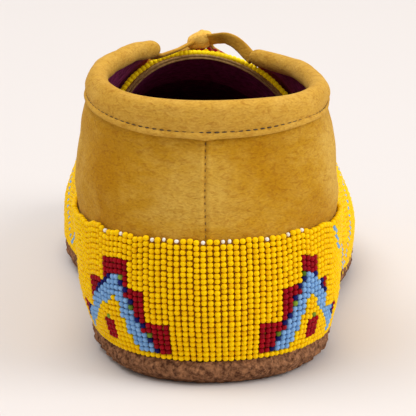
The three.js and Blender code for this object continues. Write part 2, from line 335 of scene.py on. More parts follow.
def share_of(tree, value, low, high, most=1.0):
    """How far a value is on its way from low to high, as a share from 0 to most."""
    return add_node(tree, "ShaderNodeMapRange", inputs={
        "Value": value, "From Min": low, "From Max": high, "To Min": 0, "To Max": most}).outputs[0]


def both(tree, first, second):
    """Two shares together, at most 1."""
    return add_node(tree, "ShaderNodeMath", {"operation": "ADD", "use_clamp": True}, {
        0: first, 1: second}).outputs[0]


def blend(tree, share, first, second, kind="MIX"):
    """Mix two colours, each a socket or a hex value."""
    first, second = (linear(c) if isinstance(c, str) else c for c in (first, second))
    return add_node(tree, "ShaderNodeMix", {"data_type": "RGBA", "blend_type": kind}, {
        "Factor": share, COLOUR_A: first, COLOUR_B: second}).outputs[COLOUR_OUT]


def bump(tree, height, strength, depth, under=None):
    """Relief of this many millimetres, on top of another bump where there is one."""
    inputs = {"Height": height, "Strength": strength, "Distance": depth * MM}
    if under is not None:
        inputs["Normal"] = under
    return add_node(tree, "ShaderNodeBump", inputs=inputs).outputs[0]


print("view transform:", bpy.context.scene.view_settings.view_transform)

# %% [markdown]
# Smoked and sueded hide has no shine of its own. Its fibres stand up as a nap that lies darker where
# it is brushed one way and paler where it is brushed the other, in clouds a thumb wide, and its loose
# grain wrinkles finely. So the colour is two scales of noise and a few listed patches, of which the
# dark ones just above the bead band are partly painted shade; the sheen lobe gives the pale edge that
# fibres catch, and two bumps give the wrinkles and the nap. The nap of a real hide is about 0.2 mm,
# too fine to show here, so it is drawn at about 0.8 mm.

# %% Suede
CLOUD_SIZE, BRUSH_SIZE, WRINKLE_SIZE, NAP_SIZE = 26.0, 7.0, 2.0, 0.8
BRUSH_STRETCH, SEED_SHIFT = (0.85, 0.85, 1.8), (0.13, 0.07, 0.0)
FIBRE_SHEEN, WRINKLE_TONE, NAP_TONE = "#f0cf80", "#c8a468", "#b08a50"
PATCH_DRIFT, DRIFT_SIZE, PATCH_CORE = 12.0, 9.0, 0.2
# A patch has an angle in degrees, a level, a radius in mm and its share of the tone.
DARK_AND_BAND_SHADE_PATCHES = [
    (-36, 5.7, 15, 0.7), (-35, 4.6, 13, 0.5), (20, 5.7, 14, 0.65), (25, 4.5, 11, 0.4),
    # The three patches at levels 3.2 to 3.3 lie just above the bead band: darker hide there, and painted
    # shade where the band meets the upper.
    (-32, 3.3, 9, 0.45), (32, 3.3, 10, 0.45), (12, 3.2, 7, 0.3),
]
PALE_PATCHES = [(-5, 4.7, 17, 0.75), (7, 4.3, 11, 0.5), (52, 5.3, 22, 1.0), (-58, 5.6, 9, 0.7)]


def patch_share(tree, place, patches):
    """How far the listed patches cover each spot; a slow noise makes their borders wander."""
    drift = noise(tree, place, DRIFT_SIZE, detail=2)[1]
    spot = add_node(tree, "ShaderNodeVectorMath", {"operation": "MULTIPLY_ADD"}, {
        0: drift, 1: (PATCH_DRIFT * MM,) * 3, 2: place}).outputs[0]
    total = 0.0
    for angle, level, radius, share in patches:
        centre = to_frame(last_point(math.radians(angle), level) + PATCH_DRIFT / 2)
        away = add_node(tree, "ShaderNodeVectorMath", {"operation": "DISTANCE"}, {
            0: spot, 1: tuple(centre)}).outputs[1]
        cover = add_node(tree, "ShaderNodeMapRange", {"interpolation_type": "SMOOTHSTEP"}, {
            "Value": away, "From Min": PATCH_CORE * radius * MM, "From Max": radius * MM,
            "To Min": share, "To Max": 0}).outputs[0]
        total = both(tree, total, cover)
    return total


def suede(name, dark, middle, light, seed, dark_and_band_shade_patches=(), pale_patches=()):
    material, tree, place = start_material(name, {
        "Roughness": 0.93, "IOR": 1.4, "Specular IOR Level": 0.2,
        "Sheen Weight": 0.2, "Sheen Roughness": 0.4, "Sheen Tint": linear(FIBRE_SHEEN),
    })
    brushing = laid(tree, place, BRUSH_STRETCH, [seed * shift for shift in SEED_SHIFT])
    clouds = noise(tree, place, CLOUD_SIZE, detail=3, roughness=0.6)[0]
    brushed = noise(tree, brushing, BRUSH_SIZE, detail=4, roughness=0.65)[0]
    nap = noise(tree, brushing, NAP_SIZE, detail=2)[0]
    wrinkles = noise(tree, brushing, WRINKLE_SIZE, detail=3, distortion=1.2)[0]
    clouded = share_of(tree, clouds, low=0.5, high=0.7, most=0.5)
    paler = share_of(tree, brushed, low=0.42, high=0.7, most=0.6)
    wrinkled = share_of(tree, wrinkles, low=0.48, high=0.7, most=0.45)
    napped = share_of(tree, nap, low=0.35, high=0.75, most=0.3)
    colour = blend(tree, both(tree, paler, patch_share(tree, place, pale_patches)), middle, light)
    colour = blend(tree, both(tree, clouded, patch_share(tree, place, dark_and_band_shade_patches)), colour, dark)
    colour = blend(tree, wrinkled, colour, WRINKLE_TONE, "MULTIPLY")
    colour = blend(tree, napped, colour, NAP_TONE, "MULTIPLY")
    creased = bump(tree, wrinkles, strength=0.55, depth=0.5)
    set_surface(tree, colour, bump(tree, nap, strength=0.5, depth=0.22, under=creased))
    return material


golden_suede = suede("golden_suede", "#b27c02", "#be8c1c", "#d0a646", 1, DARK_AND_BAND_SHADE_PATCHES, PALE_PATCHES)
# The casing's suede is paler than the upper's: partly a paler tone of the hide, partly painted light for
# the collar's top, which faces the lamps.
casing_suede_and_painted_light = suede("casing_suede_and_painted_light", "#bb8b2a", "#cb9c3a", "#daaf52", seed=2)
thong_suede = suede("thong_suede", "#b08022", "#c89632", "#daaa46", seed=3)
# The knot's suede is the thong's suede painted lighter: painted light on the knot, whose top faces the
# lamps.
knot_suede_painted_light = suede("knot_suede_painted_light", "#dba83e", "#efbc52", "#f6cc68", seed=4)
print("suede materials:", [m.name for m in (golden_suede, casing_suede_and_painted_light, thong_suede, knot_suede_painted_light)])

# %% [markdown]
# The other finishes, each from what the real stuff is. Seed beads are opaque pressed glass, so they
# are smooth and carry one small highlight each, and no two have quite the same colour. The lining is
# plum wool fleece, all pile and no gloss. The sole is rough split leather whose cut edge crumbles,
# with flecks of paler fibre. The thread is waxed brown linen. The row of beads on the tongue's edge
# has painted light: a lighter yellow glass than the band's and a faint glow, standing in for light
# on a row that the lamps leave in shade.

# %% Glass, fleece, sole leather and thread
BEAD_COLOURS = {
    "yellow": ("#fbd000", "#f0b800"),
    "red": ("#a30d1c", "#7c0a1a"),
    "light_blue": ("#86b2e0", "#6e9ccf"),
    "navy": ("#1b1f6c", "#11134a"),
    "green": ("#4d6a1c", "#8fae3a"),
    "white": ("#f3efe6", "#e2dccb"),
    # The edge row's yellow is the band's yellow painted lighter: painted light.
    "rope_yellow_painted_light": ("#ffe21c", "#ffd60a"),
}
BEAD_NAMES = list(BEAD_COLOURS)
ROPE_PAINTED_GLOW, ROPE_PAINTED_GLOW_COLOUR = 0.12, "#ffd000"
THREAD_STRETCH = (1, 1, 0.5)


def bead_glass(name, colour, deep):
    """Opaque glass; each bead's own tint comes from a number stored on its points."""
    material, tree, _ = start_material(name, {
        "Roughness": 0.36, "IOR": 1.52, "Specular IOR Level": 0.05})
    tint = add_node(tree, "ShaderNodeAttribute", {"attribute_name": "tint"}).outputs["Fac"]
    set_surface(tree, blend(tree, tint, colour, deep))
    return material


def two_tone(name, shader_inputs, dark, light, size, depth, stretch=(1, 1, 1), edges=(0.35, 0.7)):
    """A matt stuff with one grain: noise of one real size mixes two colours and lifts the surface."""
    material, tree, place = start_material(name, shader_inputs)
    grain = noise(tree, laid(tree, place, stretch), size, detail=5, roughness=0.65)[0]
    colour = blend(tree, share_of(tree, grain, *edges), dark, light)
    set_surface(tree, colour, bump(tree, grain, strength=0.8, depth=depth))
    return material


bead_glasses = [bead_glass(name + "_bead_glass", *BEAD_COLOURS[name]) for name in BEAD_NAMES]
# The edge row's glass glows faintly: painted light, since no lamp is there.
rope_shader = bead_glasses[-1].node_tree.nodes["Principled BSDF"]
rope_shader.inputs["Emission Color"].default_value = linear(ROPE_PAINTED_GLOW_COLOUR)
rope_shader.inputs["Emission Strength"].default_value = ROPE_PAINTED_GLOW
plum_fleece = two_tone("plum_wool_fleece", {
    "Roughness": 1.0, "Specular IOR Level": 0.1, "Sheen Weight": 0.25, "Sheen Roughness": 0.5,
    "Sheen Tint": linear("#9a4a86")}, "#5c1838", "#9c3a6c", size=2.4, depth=0.6)
sole_leather = two_tone("rough_split_leather", {
    "Roughness": 0.95, "IOR": 1.45, "Specular IOR Level": 0.25}, "#54321f", "#b07c56", size=1.5, depth=0.9,
    edges=(0.38, 0.66))
backing_hide = two_tone("bead_backing_hide", {
    "Roughness": 0.95, "Specular IOR Level": 0.2}, "#8e5a0a", "#a46c0e", size=1.5, depth=0.2)
edge_leather = two_tone("tongue_edge_leather", {
    "Roughness": 0.7, "IOR": 1.45, "Specular IOR Level": 0.4}, "#a07c42", "#d2ac6c", size=1.2, depth=0.15)
brown_thread = two_tone("waxed_brown_thread", {
    "Roughness": 0.6, "IOR": 1.5}, "#38240f", "#573c1c", size=0.5, depth=0.05, stretch=THREAD_STRETCH)
worn_thread = two_tone("worn_brown_thread", {
    "Roughness": 0.8, "IOR": 1.5}, "#644618", "#866228", size=0.5, depth=0.05, stretch=THREAD_STRETCH)
print("colours of glass:", len(bead_glasses))

# %% [markdown]
# The stage is a plain pale floor under soft light. The photo has one large soft light over the shoe, one
# from the right and a weaker one from the left, and only a faint shadow close round the sole. Area lights
# do this as real softboxes do, and the world gives the even white that a studio's walls throw back.

# %% Floor and lights
FLOOR_HALF, PAPER_CLOUDS = 3.0, 400.0
WALL_COLOUR, WALL_GLOW = "#fffaf5", 0.64
# A light has its name, its place, its aim and its size in metres, and its watts.
LIGHTS = [
    ("overhead_softbox", (-0.5, -0.1, 3.0), (0, 0, 0), 2.4, 54),
    ("right_softbox", (2.6, -0.7, 1.6), (0, 0, 0.05), 2.6, 56),
    ("left_softbox", (-1.4, 0.2, 2.6), (0, 0, 0.05), 1.6, 8),
]
floor_material, floor_tree, floor_place = start_material("pale_paper_floor", {
    "Roughness": 0.95, "Specular IOR Level": 0.1})
paper_tone = noise(floor_tree, floor_place, PAPER_CLOUDS, detail=1)[0]
set_surface(floor_tree, blend(floor_tree, paper_tone, "#d6d1cf", "#d9d4d2"))
floor_mesh = bpy.data.meshes.new("floor")
floor_corners = [(x * FLOOR_HALF, y * FLOOR_HALF, 0) for x, y in ((-1, -1), (1, -1), (1, 1), (-1, 1))]
floor_mesh.from_pydata(floor_corners, [], [(0, 1, 2, 3)])
floor_mesh.materials.append(floor_material)
floor = add_object("floor", floor_mesh)

world = bpy.data.worlds.new("studio_walls")
bpy.context.scene.world = world
world.use_nodes = True
world.node_tree.nodes["Background"].inputs["Color"].default_value = linear(WALL_COLOUR)
world.node_tree.nodes["Background"].inputs["Strength"].default_value = WALL_GLOW
for name, place, aim, size, watts in LIGHTS:
    light = bpy.data.lights.new(name, "AREA")
    light.size = size
    light.energy = watts
    stand(add_object(name, light), place, aim)
print("lights:", [row[0] for row in LIGHTS])

# %% [markdown]
# Most pieces of a shoe are strips swept along a line: a thong, a collar, a seam. A strip is a grid of
# points, with rows along the line and columns round the section, so a few helpers serve them all. One
# lists the grid's faces, two close a strip or a sheet, and one turns points in millimetres into an
# object of the model.

# %% Mesh helpers
FINE_STEPS = 40


def grid_faces(rows, columns, round_closed=True, along_closed=False, first=0):
    along = rows if along_closed else rows - 1
    across = columns if round_closed else columns - 1
    i, j = np.meshgrid(np.arange(along), np.arange(across), indexing="ij")
    i_next, j_next = (i + 1) % rows, (j + 1) % columns
    corners = [i * columns + j, i * columns + j_next, i_next * columns + j_next, i_next * columns + j]
    return (first + np.stack(corners, -1).reshape(-1, 4)).tolist()


def turned(faces):
    """The same faces looking the other way."""
    return [face[::-1] for face in faces]


def shifted(faces, first):
    """The same faces for points that stand further down a list."""
    return [[first + k for k in face] for face in faces]


def add_piece(name, points, faces, materials, slot, nodes=(), face_materials=None):
    """Make one object that rides with the shoe, with the given materials, and replaces solids; the slot is
    not used.
    """
    mesh = bpy.data.meshes.new(name)
    mesh.from_pydata(to_frame(points).tolist(), [], faces)
    for material in materials:
        mesh.materials.append(material)
    if face_materials is not None:
        mesh.polygons.foreach_set("material_index", np.asarray(face_materials, np.int32))
    mesh.polygons.foreach_set("use_smooth", np.full(len(faces), True))
    mesh.update()
    piece = add_object(name, mesh)
    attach(piece, "root")
    if nodes:
        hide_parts(*nodes)
    print(name, "faces:", len(faces))
    return piece


def strip(rings, along_closed=False):
    """Points and faces of a closed strip; its two ends are capped unless it runs into itself."""
    rows, columns = rings.shape[:2]
    faces = grid_faces(rows, columns, along_closed=along_closed)
    if not along_closed:
        faces.append(list(range(columns))[::-1])
        faces.append(list(range((rows - 1) * columns, rows * columns)))
    return rings.reshape(-1, 3), faces


def sheet(front, back, edges, round_closed=True):
    """Points and faces of a sheet closed along its edges, and for each face whether it is lining."""
    rows, columns = front.shape[:2]
    count = rows * columns
    front_faces = grid_faces(rows, columns, round_closed)
    faces = front_faces + turned(shifted(front_faces, count))
    lined = [0] * len(front_faces) + [1] * len(front_faces)
    for edge in edges:
        onward = np.roll(edge, -1)
        faces += np.stack([onward, edge, count + edge, count + onward], -1).tolist()
        lined += [0] * len(edge)
    return np.concatenate([front.reshape(-1, 3), back.reshape(-1, 3)]), faces, lined


def round_rings(across, off, turn):
    """Rings of radius 1 from the two cross ways at each step of a line."""
    return across[..., None, :] * np.cos(turn)[:, None] + off[..., None, :] * np.sin(turn)[:, None]


def spaced_path(points, count):
    """A smooth line through given points, at even steps, and its length."""
    points = np.asarray(points, float)
    chord = run_length(points)
    fine_chord = np.linspace(0, chord[-1], FINE_STEPS * count)
    fine = np.stack([smooth(chord, points[:, k], fine_chord) for k in range(3)], -1)
    run = run_length(fine)
    return line_at(fine, run, np.linspace(0, run[-1], count)), run[-1]


# %% [markdown]
# The tie is one flat suede thong about 4 mm wide. It runs through the collar's casing, comes out at
# both rounded ends, meets in a knot over the tongue, and its two cut ends lie down the vamp. Each half
# is a cord from its collar end to its cut end, through the points that the solid model uses too. On
# the outer side it turns its broad face to the back in an arch. On the inner side it shows its edge.

# %% Thong: its route and its section
THONG_WIDTH, THONG_THICK = 4.3, 1.3
THONG_STEPS, THONG_SIDES = 150, 16
WIDTH_POWER, THICK_POWER = 0.55, 0.75
OUTER_ARCH = [
    (15.8, 100.7, 85.0), (14.3, 102.8, 86.2), (12.3, 105, 88.0), (9.8, 107, 89.7),
    (7.0, 109, 90.4), (4.2, 112, 89.8), (2.2, 114.5, 89.2),
]
INNER_RUN = [
    (-17.0, 97.8, 86.6), (-15.3, 99.6, 85.9), (-12.2, 102.8, 86.3), (-8.8, 108.0, 86.7),
    (-5.2, 114.2, 87.5),
]
INNER_END = [
    (-3.6, 120.5, 86.2), (-7.4, 125.4, 83.6), (-12.6, 129.6, 81.6), (-18.4, 133.6, 79.2),
    (-24.9, 138.7, 75.4), (-30.2, 142.6, 70.0), (-33.7, 145.4, 64.6), (-36.8, 147.6, 59.5),
    (-40.0, 148.9, 54.1), (-41.9, 149.3, 50.6),
]
OUTER_END = [
    (0.5, 120.6, 86.6), (1.9, 125.7, 84.8), (5.3, 133.4, 81.5), (9.5, 141.4, 77.8),
    (14.9, 149.5, 73.5), (21.1, 157, 68.7), (27.4, 163.3, 62.6), (32.7, 167.8, 55.6),
]
KNOT_PLACE = np.array([-1.6, 117, 88.6])
KNOT_HALF = np.array([4.5, 3.5, 3.15])


def squared(x, power):
    """Pull a round form towards a square one."""
    return np.sign(x) * np.abs(x) ** power


section_turn = circle(THONG_SIDES)
section_across = squared(np.cos(section_turn), WIDTH_POWER)[:, None] * THONG_WIDTH / 2
section_off = squared(np.sin(section_turn), THICK_POWER)[:, None] * THONG_THICK / 2


def thong_rings(path, faces_to, closed=False):
    """Section rings along a path; faces_to is the way the thong's broad face looks at each step."""
    ahead = np.roll(path, -1, 0) - np.roll(path, 1, 0)
    if not closed:
        ahead[0], ahead[-1] = path[1] - path[0], path[-1] - path[-2]
    ahead = unit(ahead)
    across = unit(np.cross(ahead, faces_to))
    off = np.cross(across, ahead)
    return path[:, None] + across[:, None] * section_across + off[:, None] * section_off


print("sides of the thong's section:", THONG_SIDES)

# %% Thong: the knot and the two halves
LUMP_RINGS, LUMP_SIDES, LUMP_POLE, LUMP_POWER = 25, 36, 0.06, 0.62
LUMP_SLOPE, LUMP_LEAN, LUMP_INSET = 0.6, 0.16, (0.5, 0.2, 0.1)
WRAP_STEPS, WRAP_LEAN, WRAP_SHIFT, WRAP_RAISED, WRAP_INSET = 60, 0.5, 0.3, 0.4, (0.35, 0.35, 0.8)
UNDER_KNOT = (0, 0, 0.6)
END_SPACING, TURN_BEFORE_KNOT, TURN_SHARE = 1.6, 0.08, 0.2
# The way the broad face looks before the knot and after it.
ARCH_FACES = np.array([(0.1, -1, -0.25), (-0.6, 0.25, 0.8)])
RUN_FACES = np.array([(-0.39, 0.21, 0.9), (0.5, 0.25, 0.85)])

polar, around = np.meshgrid(
    np.linspace(LUMP_POLE, np.pi - LUMP_POLE, LUMP_RINGS), circle(LUMP_SIDES), indexing="ij")
ball = np.stack([np.sin(polar) * np.cos(around), np.sin(polar) * np.sin(around), np.cos(polar)], -1)
lump = squared(ball, LUMP_POWER)
lump[..., 2] *= 1 - LUMP_SLOPE * np.clip(-lump[..., 0], 0, 1) * (lump[..., 2] > 0)
lump[..., 0] += LUMP_LEAN * lump[..., 2]
lump_points, lump_faces = strip(KNOT_PLACE + lump * (KNOT_HALF - LUMP_INSET))
turn = circle(WRAP_STEPS)
wrap = np.stack([
    math.sin(WRAP_LEAN) * np.cos(turn), np.sin(turn), math.cos(WRAP_LEAN) * np.cos(turn)], -1)
wrap_path = KNOT_PLACE + wrap * (KNOT_HALF - WRAP_INSET)
wrap_path[:, 0] += WRAP_SHIFT * (wrap[:, 2] + WRAP_RAISED)
wrap_points, wrap_faces = strip(thong_rings(wrap_path, wrap, closed=True), along_closed=True)
knot_points = np.concatenate([lump_points, wrap_points])
knot_faces = turned(lump_faces) + shifted(wrap_faces, len(lump_points))
# The knot wears the thong's suede painted lighter, as painted light.
knot = add_piece("thong_knot", knot_points, knot_faces, [knot_suede_painted_light], "thong", ["lace_knot"])


def thong_half(name, start, through, end, looks, nodes):
    """One cord from its collar end through the knot, where its broad face turns, to its cut end."""
    path, length = spaced_path([*start, through, *end], THONG_STEPS)
    knot_share = len(start) / (len(start) + END_SPACING * len(end))
    turn = eased(ramp(np.linspace(0, 1, THONG_STEPS), knot_share - TURN_BEFORE_KNOT, TURN_SHARE))[:, None]
    faces_to = unit(looks[0] * (1 - turn) + looks[1] * turn)
    piece = add_piece(name, *strip(thong_rings(path, faces_to)), [thong_suede], "thong", nodes)
    print(name, "length, mm:", round(length, 1))


thong_half("thong_outer_arch", OUTER_ARCH, KNOT_PLACE, INNER_END, ARCH_FACES,
           ("lace_loop", "lace_end_inner"))
thong_half("thong_inner_run", INNER_RUN, KNOT_PLACE - UNDER_KNOT, OUTER_END, RUN_FACES,
           ("lace_run", "lace_end_outer"))

# %% [markdown]
# The upper is one hide, 2 mm thick, sewn up at the back of the heel. It could be a cloth simulation,
# but a sewn moccasin keeps the form of its last, so it is the last's own surface with soft troughs
# and ridges laid on: the seam's groove, folds where the quarter eases under the collar, and
# the bends that walking leaves across the vamp. The inner face is the fleece lining.

# %% Creases
# A crease runs from an angle in degrees and a level to another, with its rise and width in mm.
CREASES = [
    (9, 5.9, 40, 6.5, -0.45, 3.2),
    (-8, 5.6, -34, 6.4, -0.5, 3.4),
    (20, 4.0, 48, 5.2, 0.5, 5.0),
    (-22, 4.3, -52, 5.0, 0.55, 5.5),
    (4, 3.9, 20, 3.6, -0.35, 2.6),
    (-4, 3.8, -18, 3.5, -0.3, 2.6),
    (44, 6.6, 56, 4.0, -0.4, 5.0),
    (-42, 6.7, -55, 4.1, -0.4, 5.0),
    (86, 6.8, 96, 4.6, -0.8, 4.5),
    (-88, 6.8, -97, 4.5, -0.8, 4.5),
    (128, 4.4, 165, 5.3, -0.9, 4.0),
    (-128, 4.4, -165, 5.3, -0.9, 4.0),
    (136, 3.9, 172, 4.55, -0.7, 3.5),
    (-136, 3.9, -172, 4.55, -0.7, 3.5),
]
CREASE_STEPS, CREASE_END, CREASE_FADE = 30, 0.02, 0.7
SWELL_WAVES, WAVE_RANGE = 6, (0.7, 1.4)


def crease_rise(points):
    """How far the creases move each point; they fade towards their ends."""
    total = np.zeros(len(points))
    share = np.linspace(0, 1, CREASE_STEPS)
    fade = np.sin(np.pi * np.clip(share, CREASE_END, 1 - CREASE_END)) ** CREASE_FADE
    for from_angle, from_level, to_angle, to_level, rise, width in CREASES:
        angle = np.radians(from_angle + (to_angle - from_angle) * share)
        line = last_point(angle, from_level + (to_level - from_level) * share)
        gaps = np.linalg.norm(points[:, None] - line[None], axis=2)
        total += rise * fade[gaps.argmin(1)] * bell(gaps.min(1), 0, width)
    return total


def soft_swell(points, size, seed):
    """Slow unevenness: a sum of waves of about this many millimetres in seeded directions."""
    draw = np.random.default_rng(seed)
    total = np.zeros(points.shape[:-1])
    for _ in range(SWELL_WAVES):
        way = unit(draw.normal(size=3)) * 2 * np.pi / (size * draw.uniform(*WAVE_RANGE))
        total += np.sin(points @ way + draw.uniform(0, 2 * np.pi))
    return total / SWELL_WAVES


print("creases:", len(CREASES))

# %% Upper
RING_STEPS, SEAM_STEPS, SEAM_ANGLE, SEAM_CLEAR = 320, 41, 0.075, 0.078
LEVELS_UNDER_BAND, LEVELS_IN_VIEW = np.linspace(0, 2.6, 9), np.linspace(2.75, TOP, 66)
HEEL_ARC = 66.0
SEAM_STITCH_PITCH = 2.0
# The seam's forms have their rise, their distance from the seam and their width, in mm.
SEAM_GROOVE, SEAM_ROLL, SEAM_PUCKER = (-0.5, 0, 0.5), (0.25, 1.5, 1.0), (0.1, 0, 2.2)
SEAM_LEVEL, SEAM_LEVELS = 2.6, 0.3
CREASED_LEVEL, CREASED_LEVELS, CASING_LEVEL, CASING_LEVELS = 2.7, 0.6, 6.6, 0.5
SLOW_SWELL, QUICK_SWELL, LINING_SWELL, LINING_SUNK = 0.45, 0.2, 0.25, 0.15


def seam_rise(angle, level, height):
    """The closed seam up the heel: a groove, a soft roll on each side, and puckers at the stitches."""
    away = np.abs(angle) * HEEL_ARC
    groove, roll, pucker = (
        rise * bell(away, middle, width) for rise, middle, width in (SEAM_GROOVE, SEAM_ROLL, SEAM_PUCKER))
    stitched = np.cos(2 * np.pi * height / SEAM_STITCH_PITCH)
    return ramp(level, SEAM_LEVEL, SEAM_LEVELS) * (groove + roll + pucker * stitched)


even = np.linspace(-np.pi, np.pi, RING_STEPS, endpoint=False)
near_seam = np.linspace(-SEAM_ANGLE, SEAM_ANGLE, SEAM_STEPS)
upper_angles = np.unique(np.round(np.concatenate([even[np.abs(even) > SEAM_CLEAR], near_seam]), 6))
angles, levels = np.meshgrid(upper_angles, np.concatenate([LEVELS_UNDER_BAND, LEVELS_IN_VIEW]))
base = last_point(angles, levels)
uneven = crease_rise(base.reshape(-1, 3)).reshape(levels.shape)
uneven = uneven + SLOW_SWELL * soft_swell(base, size=34, seed=4)
uneven = uneven + QUICK_SWELL * soft_swell(base, size=11, seed=5)
shown = ramp(levels, CREASED_LEVEL, CREASED_LEVELS) * (1 - ramp(levels, CASING_LEVEL, CASING_LEVELS))
flare = side_flare(angles, levels)
outside = off_last(angles, levels, uneven * shown + seam_rise(angles, levels, base[..., 2]) + flare)
fleece_rise = LINING_SWELL * soft_swell(base, size=6, seed=6) - LINING_SUNK
inside = off_last(angles, levels, flare - WALL + fleece_rise)
foot_edge = np.arange(len(upper_angles))
rim_edge = levels.size - 1 - foot_edge
upper_points, upper_faces, lined = sheet(outside, inside, [rim_edge, foot_edge])
upper = add_piece("suede_upper", upper_points, upper_faces, [golden_suede, plum_fleece], "suede",
                  ["upper"], lined)

# %% [markdown]
# The throat is the gap at the front of the collar through which the tongue shows. Cutting it with a
# boolean keeps the wall's true thickness at the cut edge. The cutter is a wedge with round corners.

# %% Throat
THROAT_BACK, THROAT_FRONT = 84.0, 132.0
THROAT_BACK_HALF, THROAT_FRONT_HALF, THROAT_CORNER, CORNER_STEPS = 11.7, 20.1, 8.0, 9
THROAT_LOW, THROAT_HIGH = 60.0, 120.0
quarter = np.linspace(0, np.pi / 2, CORNER_STEPS)
corner_x = THROAT_FRONT_HALF - THROAT_CORNER + THROAT_CORNER * np.cos(quarter)
corner_y = THROAT_FRONT - THROAT_CORNER + THROAT_CORNER * np.sin(quarter)
right = np.stack([np.append(THROAT_BACK_HALF, corner_x), np.append(THROAT_BACK, corner_y)], -1)
outline = np.concatenate([right, right[::-1] * [-1, 1]]) + [sway(np.array([THROAT_FRONT]))[0], 0]
wedge = np.stack([
    np.column_stack([outline, np.full(len(outline), z)]) for z in (THROAT_LOW, THROAT_HIGH)])
wedge_points, wedge_faces = strip(wedge)
cutter_mesh = bpy.data.meshes.new("throat_cutter")
cutter_mesh.from_pydata(to_frame(wedge_points).tolist(), [], wedge_faces)
cutter = add_object("throat_cutter", cutter_mesh)
cut = upper.modifiers.new("throat", "BOOLEAN")
cut.operation = "DIFFERENCE"
cut.solver = "EXACT"
cut.object = cutter
cut_mesh = bpy.data.meshes.new_from_object(upper.evaluated_get(bpy.context.evaluated_depsgraph_get()))
upper.modifiers.clear()
upper.data = cut_mesh
bpy.data.objects.remove(cutter)
print("upper after the throat, faces:", len(upper.data.polygons))

# %% [markdown]
# The collar is a strip of the same hide folded over the top edge as a casing for the thong, and sewn
# down outside with one row of brown stitches. Its section is drawn once: a raw lower edge, a dip at
# the stitching, a soft belly, the round roll over the edge and a short lip inside. Sweeping that
# section round the topline makes the piece, and the last steps shrink it to two rounded ends.

# %% Collar: its section and its line
COLLAR_DEPTH, COLLAR_LIP, COLLAR_ROLL, COLLAR_EDGE = 8.8, 4.0, 3.4, 1.6
COLLAR_STITCH_UP, CASING_GAP, ROLL_STEPS = 2.5, 0.4, 17
WALL_MIDDLE, LINING_FACE = -WALL / 2, -WALL - CASING_GAP
LADDER = np.linspace(TOP - 3, TOP, 40)
roll_turn = np.linspace(0, np.pi, ROLL_STEPS)[1:-1]
roll = np.stack([WALL_MIDDLE + COLLAR_ROLL * np.cos(roll_turn), COLLAR_ROLL * np.sin(roll_turn)], -1)
# The outside, as distances off the wall and up from the collar's raw edge.
outer_side = np.array([
    (CASING_GAP, 0), (COLLAR_EDGE - 0.25, 0), (COLLAR_EDGE, 0.3), (COLLAR_EDGE + 0.05, 1.2),
    (COLLAR_EDGE - 0.2, 1.9), (COLLAR_EDGE - 0.42, COLLAR_STITCH_UP), (COLLAR_EDGE - 0.15, 3.0),
    (COLLAR_EDGE + 0.25, 3.6), (2.05, 4.4), (2.3, 5.4), (2.4, 6.6), (2.42, 7.8),
])
# The inside, as distances off the wall and up from its top edge.
inner_side = np.array([
    (-4.38, -1.0), (-4.2, -2.2), (-3.8, -3.2), (-3.1, 0.1 - COLLAR_LIP), (LINING_FACE, -COLLAR_LIP),
    (LINING_FACE, 0.0), (LINING_FACE, CASING_GAP), (CASING_GAP, CASING_GAP), (CASING_GAP, -4.0),
])
collar_section = np.concatenate([outer_side - [0, COLLAR_DEPTH], roll, inner_side])


def along_collar(angle, off, up):
    """Points by distance off the wall and up from the topline; below it they follow the wall down."""
    angle, off, up = np.broadcast_arrays(angle, off, up)
    rungs = last_point(angle[..., None], LADDER)
    steps = np.linalg.norm(np.diff(rungs, axis=-2), axis=-1)
    below = np.concatenate([np.cumsum(steps[..., ::-1], -1)[..., ::-1], np.zeros(angle.shape + (1,))], -1)
    depth = np.maximum(-up, 0)
    rung = np.clip(np.sum(below > depth[..., None], -1) - 1, 0, len(LADDER) - 2)
    high = np.take_along_axis(below, rung[..., None], -1)[..., 0]
    low = np.take_along_axis(below, rung[..., None] + 1, -1)[..., 0]
    level = LADDER[rung] + (LADDER[1] - LADDER[0]) * (high - depth) / np.maximum(high - low, 1e-9)
    level = np.clip(level, LADDER[0], TOP)
    normal = last_normal(angle, level)
    rising = np.cross(unit(round_way(angle, level)), normal)
    rising = rising * np.sign(rising[..., 2:])
    return last_point(angle, level) + normal * off[..., None] + rising * np.maximum(up, 0)[..., None]


print("points of the collar's section:", len(collar_section))

# %% Collar: swept round the topline
COLLAR_FROM, COLLAR_TO, COLLAR_STEPS = math.radians(-149), math.radians(155), 420
COLLAR_ROLL_AT_ENDS, END_ROUND, END_FULLNESS, END_UP = 2.8, 0.035, 0.25, 0.4
LOWER_EDGE, LOWER_EDGE_UP, HEEL_DIP, HEEL_DIP_ANGLE = 2.0, 0.5, 0.5, 0.06
CLEAR, ROLL_OFF = 0.1, 2.5
FOLD_SWELL, GRAIN_SWELL = 0.3, 0.16
travel = np.linspace(0, 1, COLLAR_STEPS)[:, None]
collar_angles = COLLAR_FROM + (COLLAR_TO - COLLAR_FROM) * travel
slimmer = (1 - COLLAR_ROLL_AT_ENDS / COLLAR_ROLL) * np.abs(2 * travel - 1) ** 3
from_end = np.clip(np.minimum(travel, 1 - travel) / END_ROUND * 2, 0, 1)
fullness = END_FULLNESS + (1 - END_FULLNESS) * np.sqrt(np.clip(1 - (1 - from_end) ** 2, 0, 1))
across_wall, up_wall = collar_section.T
rolled = (up_wall > CASING_GAP + CLEAR) | (np.abs(across_wall - WALL_MIDDLE) > ROLL_OFF)
section_size = (1 - slimmer * rolled) * fullness
off = WALL_MIDDLE + (across_wall - WALL_MIDDLE) * section_size + collar_ease(collar_angles)
up = up_wall * section_size + END_UP * (1 - fullness)
lower_edge_up = LOWER_EDGE_UP - HEEL_DIP * bell(collar_angles, 0, HEEL_DIP_ANGLE)
up = np.where(up < LOWER_EDGE - COLLAR_DEPTH, up + lower_edge_up, up)
smooth_collar = along_collar(collar_angles, off, up)
uneven = FOLD_SWELL * soft_swell(smooth_collar, size=15, seed=7)
